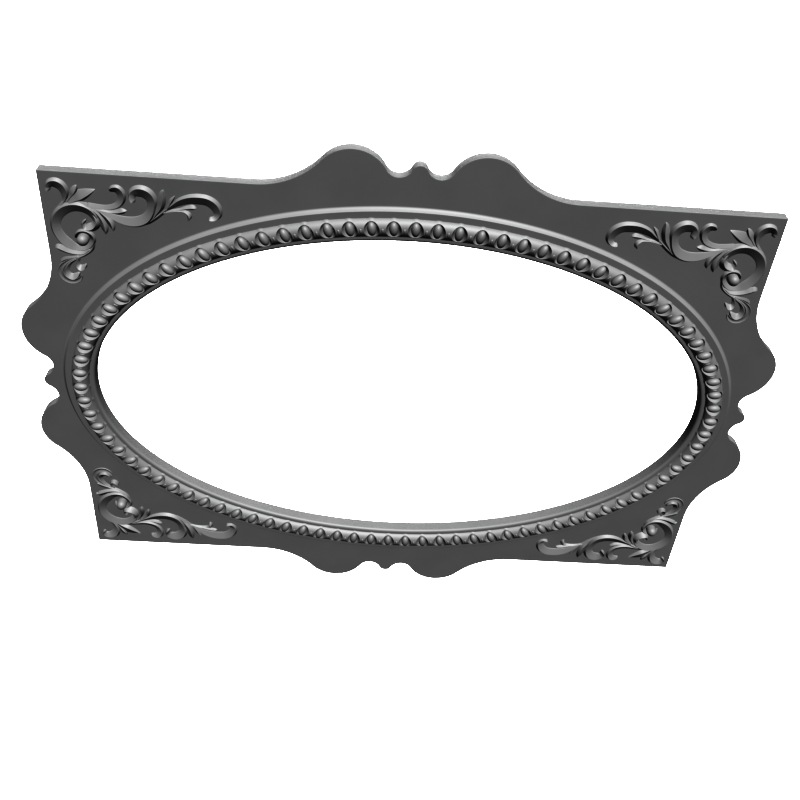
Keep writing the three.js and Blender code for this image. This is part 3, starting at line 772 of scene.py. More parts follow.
@dataclass(frozen=True)
class Crest:
    """The shaped middle of one side of the board.

    Rises are above the straight edge, and offsets and the reach are from the middle.
    """

    centre_rise: float
    notch_rise: float
    notch_offset: float
    lobe_rise: float
    lobe_offset: float
    reach: float
    centre_share: float = 0.35
    notch_share: float = 0.275
    lobe_share: float = 0.305
    arc_steps: int = 18

    def double_curve(self, start: Pair, end: Pair, share: float) -> np.ndarray:
        """Two arcs that leave start level and meet end level.

        Args:
            start: First point, left out of the result.
            end: Last point.
            share: Part of the curve that the first arc takes.

        Returns:
            The points.
        """
        across, rise = end[0] - start[0], end[1] - start[1]
        radius = (across**2 + rise**2) / (2 * abs(rise))
        turn = math.acos(1 - abs(rise) / radius)
        bend = math.copysign(1.0, rise)
        angles = turn * np.arange(self.arc_steps + 1) / self.arc_steps
        arc = radius * np.c_[np.sin(angles), bend * (1 - np.cos(angles))]
        return np.concatenate([start + share * arc[1:], end - (1 - share) * arc[-2::-1]])

    def edge(self, level: float) -> np.ndarray:
        """The whole shaped edge.

        Args:
            level: Height of the straight edge that it rises from.

        Returns:
            Its points, from its left end to its right end.
        """
        top = (0.0, level + self.centre_rise)
        notch = (self.notch_offset, level + self.notch_rise)
        lobe = (self.lobe_offset, level + self.lobe_rise)
        half = np.concatenate([
            self.double_curve(top, notch, self.centre_share),
            self.double_curve(notch, lobe, self.notch_share),
            self.double_curve(lobe, (self.reach, level), self.lobe_share),
        ])
        return np.concatenate([half[::-1] * [-1, 1], [top], half])


@dataclass
class Board:
    """The mitred board: two rails and two stiles, painted in front and bare behind."""

    finishes: Finishes
    half_width: float = 528.6
    half_height: float = 364.1
    thickness: float = 18.0
    lip: float = 10.0
    front_round: float = 0.35
    back_round: float = 0.3
    bore_steps: int = 120
    top: Crest = Crest(
        centre_rise=43.0, notch_rise=24.0, notch_offset=29.5, lobe_rise=61.3, lobe_offset=94.3, reach=230.0
    )
    side: Crest = Crest(
        centre_rise=43.4, notch_rise=24.7, notch_offset=30.0, lobe_rise=63.4, lobe_offset=97.5, reach=229.0
    )

    def member(self, crest: Crest, half_length: float, level: float, oval: Oval) -> tuple[Loop, Loop]:
        """Outline of one member, lying along X above the opening, with its inward ways.

        Args:
            crest: The shape of its outer edge.
            half_length: Half of the straight outer edge.
            level: Height of the straight outer edge above the middle.
            oval: The sight oval, turned the same way.

        Returns:
            The outline, turning left, and the way in at each point.
        """
        mitre = half_length - level
        wide, high = oval.half_width + self.lip, oval.half_height + self.lip
        foot = math.acos(mitre / math.hypot(wide, high)) - math.atan2(high, wide)
        angles = np.linspace(math.pi - foot, foot, self.bore_steps)
        bore = oval.at(angles, self.lip)
        outer = np.array([(half_length, level), *crest.edge(level)[::-1], (-half_length, level)])
        outline = np.concatenate([outer, bore])
        inward = inward_ways(outline)
        along = np.array([1.0, 1.0]) / math.sqrt(2)
        mirror = np.array([-1.0, 1.0])
        tilt = np.array([math.cos(foot) / wide, math.sin(foot) / high])
        spread = along @ tilt / np.linalg.norm(tilt)
        inward[0] = -along * math.sqrt(2)
        inward[len(outer) - 1] = inward[0] * mirror
        inward[-1] = along / spread
        inward[len(outer)] = inward[-1] * mirror
        return outline, inward

    def build(self) -> None:
        """Builds and dresses the four members."""
        lying, standing = OVAL, Oval(OVAL.half_height, OVAL.half_width)
        rail = self.member(self.top, self.half_width, self.half_height, lying)
        stile = self.member(self.side, self.half_height, self.half_width, standing)
        plate = Plate(-self.thickness, 0.0, self.front_round, self.back_round)
        members = (
            ("rail_top", rail, 0, self.finishes.rail_timber),
            ("stile_left", stile, 1, self.finishes.stile_timber),
            ("rail_bottom", rail, 2, self.finishes.rail_timber),
            ("stile_right", stile, 3, self.finishes.stile_timber),
        )
        for name, (outline, inward), quarters, timber in members:
            turn = np.linalg.matrix_power(np.array([[0, 1], [-1, 0]]), quarters)
            shape = Shape()
            plate.build(shape, [(outline @ turn, inward @ turn)], (0, 1))
            piece = shape.piece(f"board_{name}", [self.finishes.paint, timber])
            dress(piece, BODY, [name])


@dataclass
class OvalMoulding:
    """The moulding round the opening, in four lengths: lip, sight edge, platform and cove."""

    finishes: Finishes
    face: float = -18.0
    sink: float = 0.2
    lip_width: float = 9.7
    lip_depth: float = 12.4
    strip: float = 8.8
    strip_width: float = 8.6
    platform: float = 6.5
    platform_width: float = 46.9
    cove_width: float = 5.5
    sight_round: float = 4.5
    edge_round: float = 0.35
    flat: float = 0.5
    round_steps: int = 6
    edge_steps: int = 2
    cove_steps: int = 14
    oval_steps: int = 96

    def section(self) -> np.ndarray:
        """The moulding cut across.

        Returns:
            Rows of distance out from the sight edge and height above the board's face, round the section.
        """
        quarter = np.linspace(0.0, np.pi / 2, self.round_steps + 1)
        curl, soft = self.sight_round, self.edge_round
        wall = (0.0, self.strip - curl - self.flat)
        sight = [(curl * (1 - math.cos(a)), self.strip - curl * (1 - math.sin(a))) for a in quarter]
        flat = [
            (curl + self.flat, self.strip),
            (self.strip_width, self.strip),
            (self.strip_width, self.platform),
            (self.platform_width - soft - self.flat, self.platform),
        ]
        edge = [
            (self.platform_width - soft * (1 - t), self.platform - soft * t * t)
            for t in np.linspace(0.0, 1.0, self.edge_steps + 1)
        ]
        cove = [
            (self.platform_width + self.cove_width * t, (self.platform - soft) * (1 - t) ** 2)
            for t in np.linspace(0.0, 1.0, self.cove_steps + 1)[1:]
        ]
        under = [
            (self.platform_width + self.cove_width, -self.sink),
            (self.lip_width, -self.sink),
            (self.lip_width, -self.lip_depth),
            (0.0, -self.lip_depth),
        ]
        return np.array([wall, *sight, *flat, *edge, *cove, *under])

    def build(self) -> None:
        """Builds and dresses the four lengths."""
        out, height = self.section().T
        angles = np.linspace(0.0, np.pi / 2, self.oval_steps + 1)
        points, faces = swept([raised(OVAL.at(angle, out), self.face - height) for angle in angles])
        for quarter in Quarter:
            shape = Shape()
            shape.add(quarter.place(points), faces, flip=quarter.flips)
            piece = shape.piece(f"moulding_{quarter.word}", [self.finishes.paint])
            dress(piece, BODY, [f"oval_moulding_{quarter.word}"])


@dataclass
class EggAndDart:
    """The egg-and-dart band on the moulding: a half-round with an egg in each socket and a dart between."""

    finishes: Finishes
    platform: float = -24.5
    sink: float = 0.2
    middle: float = 22.2
    half_width: float = 14.15
    height: float = 11.6
    crown_power: float = 0.56
    eggs: int = 88
    crowding: float = 1.14
    egg_half_width: float = 6.5
    egg_half_length: float = 10.7
    egg_middle: float = 5.9
    egg_lift: float = 7.0
    egg_inset: float = -0.1
    socket_half_width: float = 11.3
    socket_half_length: float = 12.4
    socket_slope: float = 2.6
    socket_floor: float = 0.5
    cup_half_width: float = 13.0
    cup_half_length: float = 15.1
    cup_height: float = 9.2
    dart_half_length: float = 3.7
    dart_inset: float = 0.45
    dart_share: float = 0.42
    dart_rise: float = 0.85
    spokes: int = 80
    spoke_gather: float = 0.4
    socket_shares: tuple[float, ...] = (0.3, 0.5, 0.65, 0.8, 0.92, 1.0)
    land_shares: tuple[float, ...] = (0.08, 0.2, 0.36, 0.54, 0.72, 0.86, 0.95, 1.0)
    egg_sides: int = 28
    egg_rings: int = 14
    dart_sides: int = 16
    dart_rings: int = 8
    crease: float = 50.0

    def edge(self, along: np.ndarray) -> np.ndarray:
        """Half width of the band at a distance along it from an egg."""
        cup = self.cup_half_length * np.sqrt(np.clip(1 - (along / self.cup_half_width) ** 2, 0.0, 1.0))
        return np.maximum(self.half_width, cup)

    def crown(self, across: np.ndarray) -> np.ndarray:
        """Height of the plain band above the platform."""
        return self.height * np.clip(1 - (across / self.half_width) ** 2, 0.0, 1.0) ** self.crown_power

    def land(self, along: np.ndarray, across: np.ndarray) -> np.ndarray:
        """Height of the band, with the cup round its egg but without the socket, above the platform."""
        cup = 1 - (along / self.cup_half_width) ** 2 - (across / self.cup_half_length) ** 2
        return np.maximum(self.crown(across), self.cup_height * np.sqrt(np.clip(cup, 0.0, 1.0)))

    def border(self, before: float, after: float) -> np.ndarray:
        """The edge of one egg's stretch of band.

        Args:
            before: Distance back to the dart before the egg.
            after: Distance on to the dart after it.

        Returns:
            Rows of distance along and across, turning left from the lower right corner.
        """
        per_side = self.spokes // 4
        shares = np.linspace(-1.0, 1.0, per_side, endpoint=False)
        side = np.sin(shares * np.pi / 2) * self.half_width
        shares = shares * np.abs(shares) ** self.spoke_gather
        back = np.where(shares < 0, -shares * after, -shares * before)
        forth = np.where(shares < 0, shares * before, shares * after)
        return np.concatenate([
            np.c_[np.full(per_side, after), side],
            np.c_[back, self.edge(back)],
            np.c_[np.full(per_side, -before), -side],
            np.c_[forth, -self.edge(forth)],
        ])

    def cell(self, before: float, after: float, first: bool, last: bool) -> Facets:
        """One egg's stretch of the band without its egg.

        Args:
            before: Distance back to the dart before the egg.
            after: Distance on to the dart after it.
            first: Whether a length of the band begins here.
            last: Whether it ends here.

        Returns:
            Points as distance along, distance across and height, and the faces between them.
        """
        border = self.border(before, after)
        turn = np.arctan2(border[:, 1] / self.socket_half_length, border[:, 0] / self.socket_half_width)
        rim = np.c_[self.socket_half_width * np.cos(turn), self.socket_half_length * np.sin(turn)]
        lip = self.land(rim[:, 0], rim[:, 1])
        reach = np.linalg.norm(rim, axis=1)
        rows = []
        for share in self.socket_shares:
            depth = lip - self.socket_slope * reach * (1 - share)
            rows.append(np.c_[rim * share, np.maximum(depth, self.socket_floor)])
        for share in self.land_shares:
            place = rim + (border - rim) * share
            rows.append(np.c_[place, self.land(place[:, 0], place[:, 1])])
        rows[-1][:, 2] = np.where(np.abs(border[:, 1]) < self.half_width, rows[-1][:, 2], 0.0)
        rows.append(np.c_[border, np.full(len(border), -self.sink)])
        count, side = len(border), len(border) // 4
        points = np.concatenate([*rows, [[0.0, 0.0, self.socket_floor]]])
        faces = web(len(rows) - 1, count, close_columns=True)
        faces += [[len(points) - 1, (k + 1) % count, k] for k in range(count)]
        top, foot = (len(rows) - 2) * count, (len(rows) - 1) * count
        for k in (*range(side, 2 * side), *range(3 * side, count)):
            after_k = (k + 1) % count
            faces.append([top + k, top + after_k, foot + after_k, foot + k])
        for k in range(side):
            near, far = (count - k) % count, count - k - 1
            faces.append([foot + side + k, foot + side + k + 1, foot + far, foot + near])
        for wanted, start in ((last, 0), (first, 2 * side)):
            if wanted:
                edge = range(start, start + side + 1)
                faces.append([foot + start, *(top + k for k in edge), foot + start + side])
        return points, faces

    def egg(self) -> Facets:
        """One egg.

        Returns:
            Points as distance along, distance across and height, and the faces between them.
        """
        points, faces = globe(self.egg_rings, self.egg_sides)
        size = np.array([self.egg_half_width, self.egg_half_length, self.egg_lift])
        return points[:, [0, 2, 1]] * size + [0.0, -self.egg_inset, self.egg_middle], faces

    def dart(self, room: float) -> Facets:
        """The dart after an egg, from the line between them.

        Args:
            room: Half of the land between the two sockets.

        Returns:
            Points as distance along, distance across and height, and the faces between them.
        """
        half = self.dart_share * room
        points, faces = globe(self.dart_rings, self.dart_sides)
        ends = np.sign(np.round(points[:, 2], 6)) * (self.dart_half_length - half)
        along, rise, across = points.T * half
        across = across + ends - self.dart_inset
        return np.c_[along, across, self.crown(across) + rise * self.dart_rise], faces

    def build(self) -> None:
        """Builds and dresses the four lengths."""
        crowded = OvalWay(OVAL, self.middle, self.crowding)
        way = OvalWay(OVAL, self.middle)
        places = way.distance(crowded.angle(np.arange(-1, self.eggs + 1) * crowded.around / self.eggs))
        darts = (places[:-1] + places[1:]) / 2
        egg = self.egg()
        per_length = self.eggs // len(Quarter)
        for turn, quarter in enumerate(Quarter):
            shape = Shape()
            for turned in range(per_length):
                k = turn * per_length + turned
                place, before, after = places[k + 1], darts[k], darts[k + 1]
                dart = self.dart(after - place - self.socket_half_width)
                cell = self.cell(place - before, after - place, turned == 0, turned == per_length - 1)
                for (points, faces), start in ((cell, place), (egg, place), (dart, after)):
                    flat = OVAL.at(way.angle(start + points[:, 0]), self.middle + points[:, 1])
                    shape.add(raised(flat, self.platform - points[:, 2]), faces)
            piece = shape.piece(f"egg_band_{quarter.word}", [self.finishes.paint], self.crease)
            dress(piece, BODY, [f"egg_and_dart_{quarter.word}"])


@dataclass(frozen=True)
class Carving:
    """The relief of a stroke: its crest's height at no width, and how much it grows with the half width.

    Its long slope falls to a lip. The lip's place is a share of the width, its height a share of the crest's.
    """

    base: float
    growth: float
    lip_place: float = 1.0
    lip_height: float = 0.0


class Cut(Enum):
    """How a stroke of the scrollwork is carved: a heavy scroll, a leaf, or a hollow between two rims."""

    SCROLL = Carving(base=1.4, growth=0.48, lip_place=0.95, lip_height=0.16)
    LEAF = Carving(base=2.4, growth=0.36, lip_place=0.96, lip_height=0.12)
    HOLLOW = Carving(base=2.4, growth=0.36)


@dataclass(frozen=True)
class Stroke:
    """One stroke of the scrollwork.

    Each knot is its distance in from the board's side edge and from its upper or lower edge, the half width
    there and, where the stroke stands higher or lower than others of its width, by what factor. The ridge
    lies between -1, on one side of the stroke, and 1, on the other.
    """

    cut: Cut
    ridge: float
    knots: tuple[tuple[float, ...], ...]


SCROLL_RIDGE = 0.54
LEAF_RIDGE = 0.3
STROKES: dict[str, Stroke] = {
    "corner_curl": Stroke(Cut.SCROLL, -SCROLL_RIDGE, (
        (14, 27, 2.4, 3.67), (12.2, 22.4, 3.8, 2.38), (15.2, 17, 6.2, 1.41), (22.9, 15.4, 8), (29.8, 19, 8),
        (33.6, 26.4, 7), (33.6, 34.3, 5), (31.2, 41.5, 2.6), (25.7, 48.8, 2.2), (17.5, 58, 2.2),
    )),
    "scroll_bowl": Stroke(Cut.SCROLL, 0.05, (
        (58.8, 68.7, 1.2, 2.29), (54.1, 75.4, 3.2, 2.48), (56.6, 81.8, 5.4, 2.2), (63, 81.8, 7, 2.02),
        (69.8, 78.3, 6.8, 1.93), (73.2, 71.8, 6.2, 1.71), (71.9, 65.1, 5.4, 1.3), (66.8, 58, 3.6, 0.8),
    )),
    "great_scroll": Stroke(Cut.SCROLL, SCROLL_RIDGE, (
        (72.5, 73, 2.6), (71.6, 65.6, 5.6), (66.8, 58, 6.8), (58.5, 52.4, 7.3), (47.9, 50, 7.8),
        (36.4, 51.8, 8.1), (25.7, 58.2, 8.1), (17.9, 67.5, 7.8), (14.3, 77.8, 7.6), (15, 89.2, 7.8),
        (20, 100.4, 8.2), (28.8, 109.8, 8.2), (40.8, 115.9, 5.5, 1.06), (52.5, 115.1, 4.2, 1.21),
        (61.2, 108.4, 4, 1.42), (64.8, 100.1, 4.2, 1.55), (62.4, 93.2, 4.6, 1.59), (55.9, 89.6, 4.6, 1.39),
        (47.7, 90.1, 4.2, 1.49), (41.9, 95.3, 3, 1.4), (39.7, 101.1, 1.4, 0.4),
    )),
    "second_scroll": Stroke(Cut.SCROLL, -SCROLL_RIDGE, (
        (130.4, 37.2, 2.6, 3.61), (127.2, 31, 4.6, 2.28), (128, 25, 6.4, 1.4), (132.6, 21.4, 8.4),
        (140.8, 20, 9.4), (149.8, 24.3, 9.4), (154.4, 32.6, 8.2), (153.6, 43.2, 6.8), (150, 53.8, 7.1),
        (143, 62.6, 8.2), (131.3, 68, 8.6), (117.6, 68.6, 7.9), (105.6, 65.9, 6.4), (95.6, 61.8, 4.4),
        (85.6, 57, 3.6), (76, 51.6, 3.4), (66.4, 47.5, 3.5), (55.7, 45.2, 3.2), (41.4, 46.4, 2.6),
        (29.3, 50.4, 1.8),
    )),
    "upper_branch": Stroke(Cut.SCROLL, -SCROLL_RIDGE, (
        (96.4, 23.6, 2.4), (100.6, 19.9, 5.2), (107.2, 19, 6.6), (112.4, 25.4, 6.6), (112.2, 34, 5.8),
        (107.8, 41.6, 5), (98.8, 46.8, 4.5), (87.7, 48.6, 4), (76, 47.4, 3.5), (62, 45, 3),
    )),
    "end_hook": Stroke(Cut.SCROLL, -SCROLL_RIDGE, (
        (136, 74, 1.4), (148, 68.2, 2.2), (158, 61, 2.4), (168.4, 52, 2.4), (177, 44.4, 2.8),
        (183.6, 39.4, 3.8), (193.4, 32.8, 6), (205.6, 28.1, 7.4), (219.5, 26.7, 8.5), (231.8, 28.2, 8.5),
        (240.7, 33.8, 8.4), (245.4, 41.6, 7.4), (245.6, 49.2, 6), (242.1, 54.1, 4.4, 1.34),
        (237.3, 55.5, 3.1, 2.17), (232.9, 54.6, 2.2, 3.27),
    )),
    "lower_hook": Stroke(Cut.HOLLOW, 0.0, (
        (39.5, 131, 1), (29.3, 135.9, 1.6, 0.8), (20, 142.2, 2.8, 0.6), (12.5, 150.8, 4.2, 0.5),
        (10.6, 159.5, 4.8, 0.5), (13.6, 167.5, 4.8, 0.5), (20.8, 172.8, 4.6, 0.5), (29.6, 173.2, 4.2, 0.5),
        (37.4, 168.4, 3.2, 0.6), (41.5, 161.5, 1, 0.8),
    )),
    "lower_bowl": Stroke(Cut.SCROLL, SCROLL_RIDGE, (
        (36, 136, 1), (27, 143, 2), (21.8, 150.5, 3, 1.2), (20.6, 157.8, 4, 1.4), (23.2, 163.2, 5, 1.6),
        (28.4, 165, 5.2, 1.7), (34, 162, 4.2, 1.7), (38.2, 157, 1.4, 1.5),
    )),
    "small_curl": Stroke(Cut.SCROLL, SCROLL_RIDGE, (
        (42.4, 131.5, 1.4), (38.5, 139.5, 2.4, 1.64), (38.6, 145.5, 3.4, 2.26), (42.3, 148.2, 3.8, 2.68),
        (46.9, 146.2, 3.2, 3.17), (50.5, 141.9, 1, 3.67),
    )),
    "binding_stem": Stroke(Cut.LEAF, 0.0, (
        (66.4, 104, 1.6), (62.1, 116, 2.4), (52.1, 125.3, 2.6), (43.6, 130.2, 2.6), (36.5, 133.6, 2.2),
    )),
    "bud_leaf": Stroke(Cut.LEAF, 0.5, (
        (32.8, 45, 1.4), (41.2, 33.4, 3), (45.7, 26.6, 4.8, 1.3), (49, 21.4, 4.2, 1.2), (51.8, 16.6, 1.4),
    )),
    "broad_leaf": Stroke(Cut.LEAF, 0.5, (
        (34.5, 46.8, 1.6), (46.4, 37.6, 6.2), (54, 32.6, 9), (62, 28.6, 7.4), (70, 24.9, 4.2),
        (77, 21.6, 0.6),
    )),
    "first_hanging_leaf": Stroke(Cut.LEAF, -LEAF_RIDGE, (
        (68, 52.5, 2.2), (75.8, 61, 3.4), (80.2, 68.7, 5, 1.12), (83.4, 79.2, 5.6, 1.54),
        (84.5, 85.7, 3.6, 2.18), (85, 89.8, 1.2, 2.56),
    )),
    "second_hanging_leaf": Stroke(Cut.LEAF, -LEAF_RIDGE, (
        (78.5, 55.5, 2.2), (86.3, 63.6, 4.2), (93.1, 72.8, 5.2, 1.48), (95.5, 79.7, 3.4, 2.19),
        (96.5, 84, 1.2, 2.56),
    )),
    "side_leaf": Stroke(Cut.LEAF, 0.1, (
        (70, 50.5, 0.8), (83, 53.6, 1.5), (94.9, 55.2, 2.4), (105.4, 54.4, 4.4), (112, 52.6, 4.6),
        (118.2, 51.4, 0.6),
    )),
    "tall_leaf": Stroke(Cut.LEAF, 0.3, (
        (151, 65.8, 1.2), (157.2, 54.8, 3), (165.4, 41.2, 6, 1.3), (168.4, 29.8, 6.2, 1.3),
        (169.8, 21.2, 4.4, 1.1), (171.4, 15.4, 1.4),
    )),
    "slim_leaf": Stroke(Cut.LEAF, LEAF_RIDGE, (
        (171.5, 50.5, 1.4), (177.7, 38.4, 2.6), (182, 30.5, 3), (187.4, 23.7, 0.6),
    )),
    "club_leaf": Stroke(Cut.LEAF, 0.1, (
        (168, 50.8, 0.8), (180, 46.8, 1.4), (193.4, 44.1, 2.2), (203.4, 41.2, 3.6), (212, 40.1, 4),
        (216.8, 40.9, 1.4),
    )),
    "bent_leaf": Stroke(Cut.LEAF, -0.1, (
        (168, 52, 0.8), (180, 48.6, 1.2), (192, 47.4, 1.8), (200.2, 48, 2.8, 1.39),
        (204.8, 51.2, 3.8, 2.06), (205.7, 55, 3.4, 2.7), (203.4, 59.4, 1.4, 3.18),
    )),
    "left_leaf": Stroke(Cut.LEAF, -0.2, (
        (58, 117.6, 1.2), (49.3, 124, 3), (39.3, 125.1, 3.8), (27.1, 122.6, 5), (17.9, 118.6, 5.6),
        (11.6, 116.4, 4.4), (7.5, 118.3, 0.8),
    )),
    "lower_left_leaf": Stroke(Cut.LEAF, -LEAF_RIDGE, (
        (41, 130, 1.4, 0.6), (29.3, 133, 2.4, 0.5), (21.4, 135.4, 3.6, 0.5), (15.7, 138.4, 3, 0.5),
        (12.1, 141.6, 0.8, 0.6),
    )),
}


@dataclass
class CornerScrolls:
    """The scroll and leaf ornament in each corner of the board."""

    finishes: Finishes
    board: Board
    margin: float = 1.6
    seat: float = 0.2
    step: float = 1.2
    outer_steps: int = 6
    slope_steps: int = 6
    lip_steps: int = 3
    outer_bulge: float = 0.2
    lip_power: float = 1.6
    hollow_shares: tuple[float, ...] = (0.0, 0.2, 0.4, 0.6, 0.76, 0.88, 0.96, 1.0)
    hollow_height: float = 0.35
    rim_share: float = 0.8
    tip_length: float = 1.2
    least_tip: float = 0.8
    tip_width: float = 0.02
    tip_height: float = 0.05
    ball: Pair = (51.8, 99.0)
    ball_radius: float = 8.4
    ball_height: float = 9.0
    ball_foot: float = 8.0
    ball_sides: int = 40
    ball_rings: int = 12

    def hollow(self) -> np.ndarray:
        """The section of a stroke with two rims.

        Returns:
            Rows of share across, from -1 to 1, and height as a share of the crest's.
        """
        half = np.array(self.hollow_shares)
        shares = np.concatenate([-half[:0:-1], half])
        inside = self.hollow_height + (1 - self.hollow_height) * (shares / self.rim_share) ** 2
        outside = 1 - ((np.abs(shares) - self.rim_share) / (1 - self.rim_share)) ** 2
        return np.c_[shares, np.where(np.abs(shares) > self.rim_share, outside, inside)]

    def section(self, stroke: Stroke) -> np.ndarray:
        """The section of a stroke.

        Args:
            stroke: The stroke to cut across.

        Returns:
            Rows of share across, from -1 to 1, and height as a share of the crest's.
        """
        if stroke.cut is Cut.HOLLOW:
            return self.hollow()
        crest = (1 - abs(stroke.ridge)) / 2
        end, lip = stroke.cut.value.lip_place, stroke.cut.value.lip_height
        outer = np.linspace(0.0, 1.0, self.outer_steps + 1)
        slope = np.linspace(0.0, 1.0, self.slope_steps + 1)[1:]
        under = np.linspace(0.0, 1.0, self.lip_steps + 1)[1:]
        bulge = outer + self.outer_bulge * outer * (1 - outer)
        shares = np.concatenate([outer * crest, crest + (end - crest) * slope, end + (1 - end) * under])
        heights = np.concatenate([bulge, 1 + (lip - 1) * slope, lip * (1 - under**self.lip_power)])
        if stroke.ridge < 0:
            return np.c_[2 * shares - 1, heights]
        return np.c_[1 - 2 * shares, heights][::-1]

    def sweep(self, stroke: Stroke) -> Facets:
        """One stroke as a closed body.

        Args:
            stroke: The stroke.

        Returns:
            Points as distances in from the side edge and from the upper or lower edge, and height, and the
            faces between them.
        """
        line = curve_through(np.array([(*knot, 1.0)[:4] for knot in stroke.knots]), self.step)
        way = ways_along(line[:, :2])
        side = np.c_[-way[:, 1], way[:, 0]]
        shares, heights = self.section(stroke).T
        half = line[:, 2]
        run = run_along(line[:, :2])
        left = np.minimum(run, run[-1] - run) / np.maximum(self.tip_length * half, self.least_tip)
        tip = np.sqrt(1 - (1 - np.clip(left, 0.0, 1.0)) ** 2)
        half = half * np.maximum(tip, self.tip_width)
        carving = stroke.cut.value
        crest = (carving.base + carving.growth * half) * line[:, 3] * np.maximum(tip, self.tip_height)
        return swept([
            np.c_[line[k, :2] + np.outer(shares, side[k] * half[k]), heights * crest[k]]
            for k in range(len(line))
        ])

    def build(self) -> None:
        """Builds and dresses the four ornaments."""
        bodies = [self.sweep(stroke) for stroke in STROKES.values()]
        rings = np.linspace(0.0, np.pi / 2, self.ball_rings)[:-1]
        radii = self.ball_radius * np.cos(rings)
        heights = self.ball_foot + self.ball_height * np.sin(rings)
        dome, dome_faces = lathe([(self.ball_radius, 0.0), *zip(radii, heights)], self.ball_sides)
        dome[-1, 1] = self.ball_foot + self.ball_height
        bodies.append((dome[:, [0, 2, 1]] + [*self.ball, 0.0], dome_faces))
        for quarter in Quarter:
            shape = Shape()
            for points, faces in bodies:
                placed = np.c_[
                    self.board.half_width - self.margin - points[:, 0],
                    self.seat - self.board.thickness - points[:, 2],
                    self.board.half_height - self.margin - points[:, 1],
                ]
                shape.add(quarter.place(placed), faces, flip=not quarter.flips)
            piece = shape.piece(f"corner_scrolls_{quarter.word}", [self.finishes.paint])
            dress(piece, BODY, [f"corner_ornament_{quarter.word}"])


@dataclass
class Tongues:
    """The plywood tongues inside the mitres, which keep their solids."""

    finishes: Finishes

    def build(self) -> None:
        """Dresses the solids."""
        for quarter in Quarter:
            name = f"mitre_tongue_{quarter.word}"
            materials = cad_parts[name].data.materials
            materials.clear()
            materials.append(self.finishes.plywood)
            LOG.info("%s keeps its solid", name)


@dataclass(frozen=True)
class PanScrew:
    """A pan-head wood screw with a cross recess, along +Y, with the underside of its head at nought."""

    length: float = 12.0
    radius: float = 1.6
    point: float = 3.0
    blunt: float = 0.2
    head_radius: float = 3.4
    head_height: float = 2.2
    head_wall: float = 0.7
    recess_reach: float = 1.6
    recess_half_width: float = 0.42
    recess_depth: float = 1.2
    recess_taper: float = 0.6
    top_radius: float = 1.92
    dome_steps: int = 5
    arm_points: int = 6

    def recess(self, scale: float) -> np.ndarray:
        """The edge of the cross recess.

        Args:
            scale: Its scale about the middle.

        Returns:
            Rows of X and Z.
        """
        reach, half = self.recess_reach * scale, self.recess_half_width * scale
        middle = (reach + half) / 2
        top = [(-half, reach), (0, reach), (half, reach)]
        arm = np.array([*top, (half, middle), (half, half), (middle, half)])
        turn = np.array([[0, -1], [1, 0]])
        return np.concatenate([arm @ np.linalg.matrix_power(turn, k) for k in range(4)])

    def body(self) -> Facets:
        """The whole screw.

        Returns:
            Its points and its faces.
        """
        sides = 4 * self.arm_points
        round_ring = circle(sides, start=-360.0 / sides)
        profile = [
            (self.blunt, -self.length),
            (self.radius, self.point - self.length),
            (self.radius, 0.0),
            (self.head_radius - self.blunt, 0.0),
            (self.head_radius, self.blunt),
        ]
        rise, lean = self.head_height - self.head_wall, self.head_radius - self.top_radius
        for angle in np.linspace(0.0, np.pi / 2, self.dome_steps):
            radius = self.head_radius - lean * (1 - math.cos(angle))
            profile.append((radius, self.head_wall + rise * math.sin(angle)))
        rings = [(radius * round_ring, y) for radius, y in profile]
        rings.append((self.recess(1.0), self.head_height))
        rings.append((self.recess(self.recess_taper), self.head_height - self.recess_depth))
        return stacked(rings)

    def build(self, name: str, node: str, place: np.ndarray, spin: float, zinc: bpy.types.Material) -> None:
        """Builds one screw and dresses its solid.

        Args:
            name: The screw's name.
            node: The solid that it stands for.
            place: Middle of the underside of its head.
            spin: Turn of its recess in degrees.
            zinc: Its finish.
        """
        points, faces = self.body()
        turn = np.array(Matrix.Rotation(math.radians(spin), 3, "Y"))
        shape = Shape()
        shape.add(points @ turn.T + place, faces)
        dress(shape.piece(name, [zinc]), BODY, [node])


